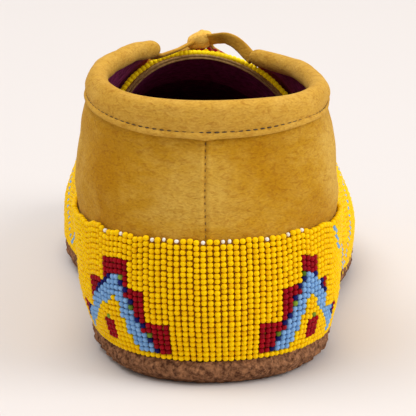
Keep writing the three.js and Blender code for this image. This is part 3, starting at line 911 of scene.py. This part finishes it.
uneven = uneven + GRAIN_SWELL * soft_swell(smooth_collar, size=6, seed=8)
outside_wall = (across_wall > CASING_GAP + CLEAR) | (across_wall < LINING_FACE - CLEAR)
shows = outside_wall | (up_wall > CASING_GAP + CLEAR)
off = off + uneven * shows * np.sign(across_wall - WALL_MIDDLE)
collar_rings = along_collar(collar_angles, off, up)
# The casing takes the paler suede, which is partly painted light.
add_piece("collar_casing", *strip(collar_rings), [casing_suede_and_painted_light], "suede", ["collar"])

# %% [markdown]
# Stitches are short bowed lengths of thread with round ends. Each is a few rings of points, and a
# whole row of them is one mesh made from arrays. The collar's row lies in the dip of its section, and
# the heel's row lies in the groove of the closing seam.

# %% Stitches
STITCH_SIDES = 6
STITCH_SHARE = np.array([0, 0.12, 0.5, 0.88, 1])
STITCH_GIRTH = np.array([0.35, 0.85, 1.0, 0.85, 0.35])
STITCH_BOW = np.array([-0.7, -0.2, 0.25, -0.2, -0.7])


def stitch_row(name, starts, ends, outward, radius, material):
    radius = np.broadcast_to(radius, len(starts))[:, None]
    along = unit(ends - starts)
    across = unit(np.cross(along, outward))
    bow = outward[:, None] * (STITCH_BOW * radius)[..., None]
    middle = starts[:, None] + (ends - starts)[:, None] * STITCH_SHARE[:, None] + bow
    rings = round_rings(across, np.cross(along, across), circle(STITCH_SIDES))
    points = middle[:, :, None] + rings[:, None] * (STITCH_GIRTH * radius)[:, :, None, None]
    one_points, one_faces = strip(points[0])
    faces = []
    for k in range(len(starts)):
        faces += shifted(one_faces, k * len(one_points))
    add_piece(name, points.reshape(-1, 3), faces, [material], "suede")


COLLAR_STITCH_PITCH, COLLAR_STITCH_LENGTH, THREAD_RADIUS = 2.45, 1.6, 0.24
STITCH_IN, STITCH_FROM_END, FIRST_COLLAR_STITCH, STITCH_STRAY = 0.3, 0.1, 0.5, 0.12
STITCH_LEVEL, SUNK_FROM, SUNK_DEGREES, SUNK_MOST = TOP - 1.8, 22.0, 16.0, 0.55
FINE_COLLAR_STEPS = 1600


def collar_stitch_place(angle):
    off = COLLAR_EDGE - STITCH_IN + collar_ease(angle)
    return along_collar(angle, off, COLLAR_STITCH_UP - COLLAR_DEPTH)


fine_angle = np.linspace(COLLAR_FROM + STITCH_FROM_END, COLLAR_TO - STITCH_FROM_END, FINE_COLLAR_STEPS)
run = run_length(collar_stitch_place(fine_angle))
begins = np.arange(FIRST_COLLAR_STITCH, run[-1] - COLLAR_STITCH_PITCH, COLLAR_STITCH_PITCH)
draw = np.random.default_rng(11)
begins = begins + draw.uniform(-STITCH_STRAY, STITCH_STRAY, len(begins))
start_angle = np.interp(begins, run, fine_angle)
end_angle = np.interp(begins + COLLAR_STITCH_LENGTH, run, fine_angle)
sunk = 1 - SUNK_MOST * ramp(np.abs(np.degrees(start_angle)), SUNK_FROM, SUNK_DEGREES)
stitch_row("collar_stitches", collar_stitch_place(start_angle), collar_stitch_place(end_angle),
           last_normal(start_angle, STITCH_LEVEL), THREAD_RADIUS * sunk, brown_thread)

SEAM_STITCH_LENGTH, SEAM_THREAD_RADIUS, FIRST_SEAM_STITCH = 0.95, 0.2, 0.8
SEAM_TOP, SEAM_DEPTH, SEAM_LINE_STEPS = 6.95, 0.3, 600
seam_line = off_last(0, np.linspace(BAND_TOP, SEAM_TOP, SEAM_LINE_STEPS), -SEAM_DEPTH)
run = run_length(seam_line)
begins = np.arange(FIRST_SEAM_STITCH, run[-1] - SEAM_STITCH_LENGTH, SEAM_STITCH_PITCH)
seam_out = np.tile([0.0, -1.0, 0.0], (len(begins), 1))
stitch_row("heel_seam_stitches", line_at(seam_line, run, begins),
           line_at(seam_line, run, begins + SEAM_STITCH_LENGTH), seam_out, SEAM_THREAD_RADIUS, worn_thread)

# %% [markdown]
# The bead band is what makes this shoe. Each seed bead is about 2 mm across, strung on threads that
# run up the wall, and sewn to a hide backing: some 300 strings of 23 beads right round the shoe. One
# bead is five rings of eight points. Arrays of places, directions, sizes and colours then make all the
# beads of a quarter of the shoe at once, as one mesh, which is quick to build and quick to render.
# The band has its own weight, so at the outer ball it bulges and hangs lower, over the sole's edge.

# %% One bead, many times
BEAD_SIDES = 8
BEAD_PROFILE = np.array([(0.45, -0.5), (0.82, -0.34), (1.0, 0.0), (0.82, 0.34), (0.45, 0.5)])
BEAD_POINTS = BEAD_SIDES * len(BEAD_PROFILE)
one_bead_faces = np.array(grid_faces(len(BEAD_PROFILE), BEAD_SIDES))
cap_ring = np.arange(BEAD_SIDES)
bead_caps = np.stack([cap_ring[::-1], BEAD_POINTS - BEAD_SIDES + cap_ring])


def bead_piece(name, centres, axes, outward, radii, lengths, colours, tints, node):
    """All the given beads as one mesh, with a material for each colour and a tint for each bead."""
    across = unit(np.cross(outward, axes))
    rings = round_rings(across, np.cross(axes, across), circle(BEAD_SIDES))
    ring_girth = radii[:, None, None, None] * BEAD_PROFILE[None, :, None, None, 0]
    ring_height = (lengths[:, None] * BEAD_PROFILE[None, :, 1])[:, :, None, None] * axes[:, None, None]
    points = centres[:, None, None] + rings[:, None] * ring_girth + ring_height
    firsts = np.arange(len(centres)) * BEAD_POINTS
    quads = (firsts[:, None, None] + one_bead_faces[None]).reshape(-1, 4).tolist()
    caps = (firsts[:, None, None] + bead_caps[None]).reshape(-1, BEAD_SIDES).tolist()
    indices = np.concatenate([np.repeat(colours, len(one_bead_faces)), np.repeat(colours, len(bead_caps))])
    piece = add_piece(name, points.reshape(-1, 3), quads + caps, bead_glasses, "glass_beads",
                      [node], indices)
    tint = piece.data.attributes.new("tint", "FLOAT", "POINT")
    tint.data.foreach_set("value", np.repeat(tints, BEAD_POINTS).astype(np.float32))


print("points of one bead:", BEAD_POINTS)

# %% Where the band hangs over the sole
SAG_AT, SAG_REACH = 138.0, 44.0
SAG_DOWN, SAG_IN, SAG_BULGE, SOLE_TUCK = 3.6, 1.6, 1.8, 0.6


def ball_share(points):
    """How much of the sag a place has: all of it at the outer ball, none at the toe or the heel."""
    return bell(points[..., 1], SAG_AT, SAG_REACH) * (points[..., 0] > 0)


def hang(points, share):
    """Move points of the band, at a share of its height: its middle bulges and its foot curls in."""
    moved = points.copy()
    moved[..., 0] += ball_share(points) * (SAG_BULGE * np.sin(np.pi * share) - SAG_IN * (1 - share) ** 3)
    moved[..., 2] -= ball_share(points) * SAG_DOWN * (1 - share)
    return moved


# %% Where the strings of beads stand
BEAD_PITCH, BEAD_ROWS, BEAD_RADIUS = 2.07, 23, 1.0
GUIDE_LEVEL, GUIDE_STEPS, STRING_PHASE = 1.6, 4001, 0.4
guide_angle = np.linspace(-np.pi, np.pi, GUIDE_STEPS)
guide_run = run_length(off_last(guide_angle, GUIDE_LEVEL, GAP + BEAD_RADIUS))
guide_run = guide_run - np.interp(0, guide_angle, guide_run)
strings = int(round((guide_run[-1] - guide_run[0]) / BEAD_PITCH))
string_pitch = (guide_run[-1] - guide_run[0]) / strings
first_string = math.ceil(guide_run[0] / string_pitch + STRING_PHASE)
last_string = first_string + strings - 1
string_number = np.arange(first_string, last_string + 1)
string_angle = np.interp((string_number - STRING_PHASE) * string_pitch, guide_run, guide_angle)
print("strings of beads:", strings, "pitch, mm:", round(string_pitch, 3))

# %% Where each bead sits on its string
TOP_EDGE_UP = 0.6
CLIMB_STEPS, CLIMB_PAST = 33, 0.2
HEEL_WAVE, HEEL_WAVE_TURN = 0.12, 1.9
# The sides' waves have their height in mm, their length in strings and where they begin.
SIDE_WAVES = ((0.5, 7.3, 0.6), (0.35, 17, 2))
SIDE_FROM, SIDE_STRINGS, WAVE_ROWS = 7, 9, 0.62
AXIS_STEP = 0.02
# How far single strings and beads stray from their even places and sizes.
STRING_UP, BEAD_UP, BEAD_ROUND, BEAD_OUT, BEAD_TILT = 0.16, 0.06, 0.0007, 0.05, 0.05
SIZE_SPREAD, LENGTH_SHARE, TINT_MIDDLE, TINT_SPREAD = 0.03, 0.97, 0.35, 0.2
draw = np.random.default_rng(21)
number, row = np.meshgrid(string_number, np.arange(BEAD_ROWS), indexing="ij")
climb_levels = np.linspace(0, BAND_TOP + CLIMB_PAST, CLIMB_STEPS)
climb = run_length(off_last(string_angle[:, None], climb_levels, GAP + BEAD_RADIUS))
height = climb[:, np.abs(climb_levels - BAND_TOP).argmin()][:, None]
sideways = ramp(np.abs(string_number), SIDE_FROM, SIDE_STRINGS)
wave = HEEL_WAVE * np.sin(string_number * HEEL_WAVE_TURN)
for rise, length, begin in SIDE_WAVES:
    wave = wave + rise * sideways * np.sin(2 * np.pi * string_number / length + begin)
wave = wave + draw.normal(0, STRING_UP, strings)
share = (row + 0.5) / BEAD_ROWS
place_up = (height + TOP_EDGE_UP) * share + wave[:, None] * np.sin(np.pi * share * WAVE_ROWS)
place_up = place_up + draw.normal(0, BEAD_UP, row.shape)
bead_level = np.stack([np.interp(place_up[k], climb[k], climb_levels) for k in range(strings)])
bead_angle = string_angle[:, None] + draw.normal(0, BEAD_ROUND, row.shape)
bead_off = GAP + BEAD_RADIUS + draw.normal(0, BEAD_OUT, row.shape) + side_flare(bead_angle, bead_level)
bead_centre = off_last(bead_angle, bead_level, bead_off)
stretch = SAG_DOWN * ball_share(bead_centre)
bead_centre = hang(bead_centre, share)
bead_out = last_normal(bead_angle, bead_level)
bead_axis = last_point(bead_angle, bead_level + AXIS_STEP) - last_point(bead_angle, bead_level - AXIS_STEP)
bead_axis = unit(unit(bead_axis) + draw.normal(0, BEAD_TILT, bead_axis.shape))
bead_radius = BEAD_RADIUS * draw.normal(1, SIZE_SPREAD, row.shape)
bead_length = (height + stretch) / BEAD_ROWS * draw.normal(LENGTH_SHARE, SIZE_SPREAD, row.shape)
bead_tint = np.clip(draw.normal(TINT_MIDDLE, TINT_SPREAD, row.shape), 0, 1)
print("height of the band, mm:", np.round([height.min(), height.max()], 1))

# %% [markdown]
# The pattern is charted as a beader would chart it, in strings and rows. On each side of the heel a
# red figure rises in three steps, a pale blue chevron with a navy edge stands inside it, and a small
# red post with a green cap fills the chevron. Thin blue lines meet in a V along each side, a short one
# stands in front of the outer figure, and the stepped figure comes back at the toe. A few white beads
# mark the top edge.

# %% Bead chart: the figures
YELLOW, RED, LIGHT_BLUE, NAVY, GREEN, WHITE, ROPE_YELLOW_PAINTED_LIGHT = range(len(BEAD_NAMES))
LOW_STEPS = ((6, 12), (10, 6))
TOP_STEP = 17
CHEVRON_TOP, CHEVRON_SLOPE, CHEVRON_FORK, CHEVRON_FORK_SLOPE = 15.2, 1.9, 10.8, 2.8
FAR_REACHES, FAR_SLOPES = (6, 10), (0.95, 0.8)
EDGE_STRINGS, POST_HALF, POST_ROWS, POST_CAP = 0.9, 1.4, (2, 5), 6
LINE_HALF = 0.55
chart = np.full(row.shape, YELLOW)


def draw_stepped_figure(axis, seam_side, top_reach, far_reaches=FAR_REACHES, far_slopes=FAR_SLOPES,
                        post_at=-1.5):
    """One figure; its side far from the seam has steps and a chevron of its own width."""
    away = np.abs(number - axis)
    toward_seam = (number - axis) * seam_side
    far = toward_seam < 0
    reaches = [np.where(far, wide, reach) for wide, (reach, _) in zip(far_reaches, LOW_STEPS)]
    step_top = np.select([away < reach for reach in reaches], [top for _, top in LOW_STEPS], -1)
    step_top[away < top_reach] = TOP_STEP
    inside = (row >= 1) & (row <= step_top)
    chart[inside] = RED
    outer = (CHEVRON_TOP - row) / np.where(far, far_slopes[0], CHEVRON_SLOPE)
    inner = (CHEVRON_FORK - row) / np.where(far, far_slopes[1], CHEVRON_FORK_SLOPE)
    chart[inside & (away < outer)] = LIGHT_BLUE
    edge = inside & (row < CHEVRON_TOP - 1) & (away >= outer) & (away < outer + EDGE_STRINGS)
    chart[edge & (far | (row % 3 != 2))] = NAVY
    chart[edge & (toward_seam > 0) & (row % 5 == 4)] = GREEN
    chart[inside & (away < inner)] = YELLOW
    post = np.abs(toward_seam - post_at) < POST_HALF
    chart[post & (row >= POST_ROWS[0]) & (row <= POST_ROWS[1])] = RED
    chart[post & (row == POST_CAP) & (number % 2 == 0)] = GREEN


def draw_thin_v(axis, foot_row, heel_spread, toe_spread):
    """Two thin lines that rise from one foot, each with its own lean."""
    away = np.abs(number - axis)
    toeward = np.abs(number) > abs(axis)
    reach = (row - foot_row) * np.where(toeward, toe_spread, heel_spread)
    chart[(row >= foot_row) & (np.abs(away - reach) < LINE_HALF)] = LIGHT_BLUE


def draw_short_line(top_row, at_string, rows, lean):
    """A thin line that comes down from its top row and leans towards the toe."""
    below_top = top_row - row
    on_line = np.abs(number - at_string - below_top * lean) < LINE_HALF
    chart[on_line & (below_top >= 0) & (below_top < rows)] = LIGHT_BLUE


TOE_FIGURE_IN = 17.5
draw_stepped_figure(axis=-15.5, seam_side=1, top_reach=3, far_reaches=(8.4, 14), post_at=-2.5)
draw_stepped_figure(axis=18.5, seam_side=-1, top_reach=2, far_reaches=(5, 10), far_slopes=(1.2, 1.16))
draw_stepped_figure(last_string - TOE_FIGURE_IN, seam_side=1, top_reach=3)
draw_stepped_figure(first_string + TOE_FIGURE_IN, seam_side=-1, top_reach=3)
draw_thin_v(axis=-84.5, foot_row=1, heel_spread=1.1, toe_spread=1.1)
draw_thin_v(axis=72, foot_row=1, heel_spread=1.1, toe_spread=0.8)
draw_short_line(top_row=21, at_string=27, rows=6, lean=0.6)
print("beads in the figures:", int((chart != YELLOW).sum()))

# %% Bead chart: white beads at the top edge
HEEL_WHITES = (-18, -14, -8, -6, -4, 0, 3, 4, 10, 14, 17)
SIDE_WHITES, SIDE_WHITES_FROM = 36, 45
WHITE_THIN, WHITE_THICK, WHITE_LENGTH = 0.55, 0.75, 0.7
side_whites = draw.choice(strings, SIDE_WHITES, replace=False)
top_edge = np.isin(number - first_string, side_whites) & (np.abs(number) > SIDE_WHITES_FROM)
top_edge |= np.isin(number, HEEL_WHITES)
top_edge &= row == BEAD_ROWS - 1
chart[top_edge] = WHITE
bead_radius[top_edge] *= draw.uniform(WHITE_THIN, WHITE_THICK, top_edge.sum())
bead_length[top_edge] *= WHITE_LENGTH
print("beads:", chart.size, {name: int((chart == k).sum()) for k, name in enumerate(BEAD_NAMES)})

# %% Bead band
HALF_WAY, BACKING_THICK, BACKING_ROWS, BACKING_IN = 75, 0.55, 12, 0.02
QUARTERS = {
    "beads_heel_inner": (number < 0) & (number >= -HALF_WAY),
    "beads_heel_outer": (number >= 0) & (number <= HALF_WAY),
    "beads_front_inner": number < -HALF_WAY,
    "beads_front_outer": number > HALF_WAY,
}
for name, part in QUARTERS.items():
    bead_piece(name, bead_centre[part], bead_axis[part], bead_out[part], bead_radius[part],
               bead_length[part], chart[part], bead_tint[part], "bead_band")

backing_heights = np.linspace(BACKING_IN, BAND_TOP - BACKING_IN, BACKING_ROWS)
backing_angles, backing_levels = np.meshgrid(even, backing_heights)
backing_off = GAP + side_flare(backing_angles, backing_levels)
backing_rings = np.concatenate([
    off_last(backing_angles, backing_levels, backing_off + BACKING_THICK),
    off_last(backing_angles, backing_levels, backing_off)[::-1],
])
backing_share = np.concatenate([backing_levels, backing_levels[::-1]]) / BAND_TOP
backing_rings = hang(backing_rings, backing_share)
add_piece("bead_backing", *strip(backing_rings, along_closed=True), [backing_hide], "suede")

# %% [markdown]
# The tongue is an arched leaf of leather that closes the front of the opening. Its free edge is bound
# with a narrow leather strip and carries a row of yellow beads, and more rows cover its face. Below
# it is lined with the same plum fleece. It is a bent sheet, so each row is an arc worked out from a
# crest height and a radius.

# %% Tongue
# A row has its place along the foot, its crest's height, its radius and its half width, in mm.
TONGUE = np.array([
    [111, 85.9, 33, 29], [118, 83.3, 33, 29], [126, 79.8, 33, 28.5],
    [134, 76.2, 33.5, 28], [142, 73, 35, 28],
])
TONGUE_BACK, TONGUE_FRONT = TONGUE[0, 0], TONGUE[-1, 0]
TONGUE_THICK, TONGUE_OUTER_STRETCH, LEAF_BELOW_BEADS, LEAF_IN = 2.9, 1.045, 1.1, 0.4
KNOT_SWELL, SWELL_Y, SWELL_LENGTH, SWELL_SIDE, SWELL_WIDTH = 2.4, 116.0, 2.7, 0.6, 8.0
LEAF_ROWS, LEAF_COLUMNS = 26, 61
FLEECE_RIPPLE, RIPPLE_TURN, RIPPLE_ALONG = 0.15, 9, 0.2


def tongue_point(y, turn, below):
    """A point of the tongue at y, at a share of its arc (-1 to 1), this far below its bead face."""
    y, turn, below = np.broadcast_arrays(np.asarray(y, float), turn, below)
    crest, radius, half = (smooth(TONGUE[:, 0], TONGUE[:, k], y) for k in (1, 2, 3))
    angle = turn * np.arcsin(half / radius)
    side = (radius - below) * np.sin(angle)
    side = np.where(side > 0, TONGUE_OUTER_STRETCH * side, side)
    swell = KNOT_SWELL * bell(y, SWELL_Y, SWELL_LENGTH) * bell(side, SWELL_SIDE, SWELL_WIDTH)
    z = crest - radius + (radius - below) * np.cos(angle) - INNER_SIDE_RISE * side + swell
    return np.stack([sway(y) + side, y, z], -1)


leaf_y, leaf_turn = np.meshgrid(
    np.linspace(TONGUE_BACK + LEAF_IN, TONGUE_FRONT, LEAF_ROWS), np.linspace(-1, 1, LEAF_COLUMNS),
    indexing="ij")
ripple = FLEECE_RIPPLE * np.sin(leaf_turn * RIPPLE_TURN + leaf_y * RIPPLE_ALONG)
leaf_top = tongue_point(leaf_y, leaf_turn, LEAF_BELOW_BEADS)
leaf_below = tongue_point(leaf_y, leaf_turn, TONGUE_THICK + ripple)
leaf_index = np.arange(leaf_y.size).reshape(leaf_y.shape)
border = np.concatenate([
    leaf_index[0], leaf_index[1:, -1], leaf_index[-1, -2::-1], leaf_index[-2:0:-1, 0]])
tongue_points, tongue_faces, lined = sheet(leaf_top, leaf_below, [border], round_closed=False)
add_piece("tongue_leaf", tongue_points, tongue_faces, [edge_leather, plum_fleece], "suede",
          ["tongue"], lined)

# Each roll of the binding has its radius and how far it lies below the bead face, in mm.
BINDING_ROLLS = ((0.5, 1.75), (0.42, 2.65))
BINDING_STEPS, BINDING_SIDES, BINDING_REACH, BINDING_IN = 120, 10, 0.985, 0.5
BACK_WAY = np.array([0.0, -1.0, 0.0])
binding_turn = np.linspace(-BINDING_REACH, BINDING_REACH, BINDING_STEPS)
for k, (roll_radius, below) in enumerate(BINDING_ROLLS, 1):
    binding_path = tongue_point(TONGUE_BACK + BINDING_IN, binding_turn, below)
    off = unit(np.cross(BACK_WAY, unit(np.gradient(binding_path, axis=0))))
    binding_rings = binding_path[:, None] + roll_radius * round_rings(BACK_WAY, off, circle(BINDING_SIDES))
    add_piece(f"tongue_binding_{k}", *strip(binding_rings), [edge_leather], "suede")

# %% Beads on the tongue
TONGUE_ROWS, TONGUE_ROW_PITCH, FIRST_ROW_IN = 12, 1.85, 0.9
ROW_STEPS, ROW_REACH = 400, 0.99
ROPE_RADIUS, ROPE_PITCH, ROPE_LENGTH, ROPE_LIFT = 0.98, 1.45, 1.85, 0.05
ROPE_SIDE_LIFT, ROPE_CREST = 0.65, 0.25
RED_REACH, POINT_ROWS, POINT_BLUE, POINT_RED, POINT_TAPER = 6, range(3, 10), 7.2, 5.2, 0.7
ROPE_TINT, ROW_TINT, ROW_TINT_SPREAD, ROW_STRAY, ROW_TILT = 0.05, 0.4, 0.1, 0.03, 0.04
STEP_ROUND, STEP_ALONG = 0.01, 0.5
draw = np.random.default_rng(31)
row_turn = np.linspace(-ROW_REACH, ROW_REACH, ROW_STEPS)
tongue_rows = []
for k in range(TONGUE_ROWS):
    y = TONGUE_BACK + FIRST_ROW_IN + k * TONGUE_ROW_PITCH
    rope = k == 0
    deep = ROPE_RADIUS - ROPE_LIFT if rope else BEAD_RADIUS
    run = run_length(tongue_point(y, row_turn, deep))
    count = int(run[-1] / (ROPE_PITCH if rope else BEAD_PITCH))
    turn = np.interp((np.arange(count) + 0.5) * run[-1] / count, run, row_turn)
    from_crest = np.abs(np.arange(count) - (count - 1) / 2)
    # The edge row takes the lighter yellow that is painted light.
    colour = np.full(count, ROPE_YELLOW_PAINTED_LIGHT if rope else YELLOW)
    if k == 1:
        colour[(from_crest < RED_REACH) & (np.arange(count) % 2 == 0)] = RED
    if k == 2:
        colour[from_crest < RED_REACH] = RED
    if k in POINT_ROWS:
        colour[from_crest < POINT_BLUE - k * POINT_TAPER] = LIGHT_BLUE
        colour[from_crest < POINT_RED - k * POINT_TAPER] = RED
    if rope:
        deep = deep - ROPE_SIDE_LIFT * (1 - bell(turn, 0, ROPE_CREST))
    place = tongue_point(y, turn, deep)
    onward = tongue_point(y, turn + STEP_ROUND, deep) if rope else tongue_point(y + STEP_ALONG, turn, deep)
    tongue_rows.append((
        place + draw.normal(0, ROW_STRAY, place.shape),
        unit(unit(onward - place) + draw.normal(0, ROW_TILT, place.shape)),
        unit(tongue_point(y, turn, deep - 1) - place),
        np.full(count, ROPE_RADIUS if rope else BEAD_RADIUS),
        np.full(count, ROPE_LENGTH if rope else TONGUE_ROW_PITCH),
        colour,
        draw.normal(ROPE_TINT if rope else ROW_TINT, ROW_TINT_SPREAD, count),
    ))
centre, axis, out, radius, length, colour, tint = (np.concatenate(part) for part in zip(*tongue_rows))
bead_piece("tongue_beads", centre, axis, out, radius * draw.normal(1, SIZE_SPREAD, len(radius)),
           length * draw.normal(1, SIZE_SPREAD, len(length)), colour, np.clip(tint, 0, 1), "tongue")

# %% [markdown]
# The sole is thick split leather, cut by knife. Its edge stands a little proud of the beads, turns in
# underneath and crumbles, so thousands of small crumbs and pits are pressed into the fine edge mesh.
# The top and the tread are ruled across from one side of the outline to the other.

# %% Outsole: its edge
SOLE_OUT = np.array([-4.2, -2.6, -1.2, -0.5, 0.1, 0.6, 1.0, 1.3, 1.5, 1.7, 1.75, 1.75, 1.6, 1.45, 1.3, 0.9])
SOLE_UP = np.array([0, 0.15, 0.7, 1.15, 1.6, 2.1, 2.6, 3.2, 3.8, 4.4, 5.1, 5.9, 6.7, 7.2, 7.6, 7.8])
SOLE_HALF_STEPS, SOLE_ACROSS = 640, 24
CRUMBS, CRUMB_REACH, CRUMB_BLOCK = 9000, 4.0, 500
CRUMB_ROWS, CRUMB_SIZES, CRUMB_RISES = (0.5, len(SOLE_UP) - 0.6), (0.6, 1.2), (-0.5, 0.36)
DEEPEST_PIT, HIGHEST_CRUMB = -0.7, 0.6
half_angles = np.linspace(0, np.pi, SOLE_HALF_STEPS + 1)
sole_angles = np.concatenate([-half_angles[:0:-1], half_angles[:-1]])


def level_ring(angle, out, up):
    """A ring round the last's base, moved out level and standing at a height over the floor."""
    foot = last_point(angle, 0)
    ring = foot + last_normal(angle, 0) * (out - SOLE_TUCK * ball_share(foot))[..., None]
    ring[..., 2] = up + sole_lift(foot[..., 1])
    return ring


def level_rings(outs, ups):
    return np.stack([level_ring(sole_angles, out, up) for out, up in zip(outs, ups)])


draw = np.random.default_rng(41)
crumb_angle = draw.uniform(-np.pi, np.pi, CRUMBS)
crumb_row = draw.uniform(*CRUMB_ROWS, CRUMBS)
row_number = np.arange(len(SOLE_UP))
crumb_out, crumb_up = (np.interp(crumb_row, row_number, rows) for rows in (SOLE_OUT, SOLE_UP))
crumb_place = level_ring(crumb_angle, crumb_out, crumb_up)
crumb_size = draw.uniform(*CRUMB_SIZES, CRUMBS)
crumb_rise = draw.uniform(*CRUMB_RISES, CRUMBS)


def crumble(points):
    """How far crumbs and pits move each point of the edge."""
    total = np.zeros(len(points))
    order = np.argsort(crumb_place[:, 1])
    sorted_y = crumb_place[order, 1]
    for start in range(0, len(points), CRUMB_BLOCK):
        part = points[start:start + CRUMB_BLOCK]
        low, high = part[:, 1].min() - CRUMB_REACH, part[:, 1].max() + CRUMB_REACH
        near = order[np.searchsorted(sorted_y, low):np.searchsorted(sorted_y, high)]
        gaps = np.linalg.norm(part[:, None] - crumb_place[near][None], axis=2)
        total[start:start + CRUMB_BLOCK] = (crumb_rise[near] * bell(gaps, 0, crumb_size[near])).sum(1)
    return np.clip(total, DEEPEST_PIT, HIGHEST_CRUMB)


edge_rings = level_rings(SOLE_OUT, SOLE_UP)
flat_edge = edge_rings.transpose(1, 0, 2).reshape(-1, 3)
moved = crumble(flat_edge).reshape(len(sole_angles), len(SOLE_UP)).T
moved[[0, -1]] = 0
edge_rings = edge_rings + last_normal(sole_angles, 0) * moved[..., None]
print("sole outline steps:", len(sole_angles))

# %% Outsole and insole
MERGE_GAP = 0.002
INSOLE_OUT, INSOLE_UP = (-2.3, -2.3, -2.5, -3.0), (8.1, 9.4, 9.9, 10.1)
TREAD_SWELL, PILE_SWELL = 0.12, 0.25


def ruled(ring):
    """Rows across the sole, from the inner side of its outline to the outer side."""
    inner_side = ring[SOLE_HALF_STEPS::-1]
    outer_side = np.concatenate([ring[SOLE_HALF_STEPS:], ring[:1]])
    share = np.linspace(0, 1, SOLE_ACROSS)[None, :, None]
    return inner_side[:, None] * (1 - share) + outer_side[:, None] * share


def closed_slab(name, rings, low_face, high_face, material, slot, node):
    """A slab from its edge rings and its two ruled faces, joined into one closed skin."""
    edge_points = rings.reshape(-1, 3)
    across = grid_faces(*low_face.shape[:2], round_closed=False)
    first_low = len(edge_points)
    first_high = first_low + low_face[..., 0].size
    faces = grid_faces(*rings.shape[:2]) + turned(shifted(across, first_low)) + shifted(across, first_high)
    points = np.concatenate([edge_points, low_face.reshape(-1, 3), high_face.reshape(-1, 3)])
    piece = add_piece(name, points, faces, [material], slot, [node])
    working = bmesh.new()
    working.from_mesh(piece.data)
    bmesh.ops.remove_doubles(working, verts=working.verts, dist=MERGE_GAP * MM)
    bmesh.ops.recalc_face_normals(working, faces=working.faces)
    working.to_mesh(piece.data)
    working.free()
    piece.data.update()


tread = ruled(edge_rings[0])
inner_part = np.zeros(tread.shape[:2])
inner_part[1:-1, 1:-1] = 1
tread[..., 2] += inner_part * TREAD_SWELL * (1 + soft_swell(tread, size=7, seed=9))
closed_slab("rough_outsole", edge_rings, tread, ruled(edge_rings[-1]),
            sole_leather, "sole_leather", "outsole")

insole_rings = level_rings(INSOLE_OUT, INSOLE_UP)
insole_top = ruled(insole_rings[-1])
insole_top[..., 2] += inner_part * PILE_SWELL * (1 + soft_swell(insole_top, size=9, seed=10))
closed_slab("fleece_insole", insole_rings, ruled(insole_rings[0]), insole_top,
            plum_fleece, "lining", "insole")
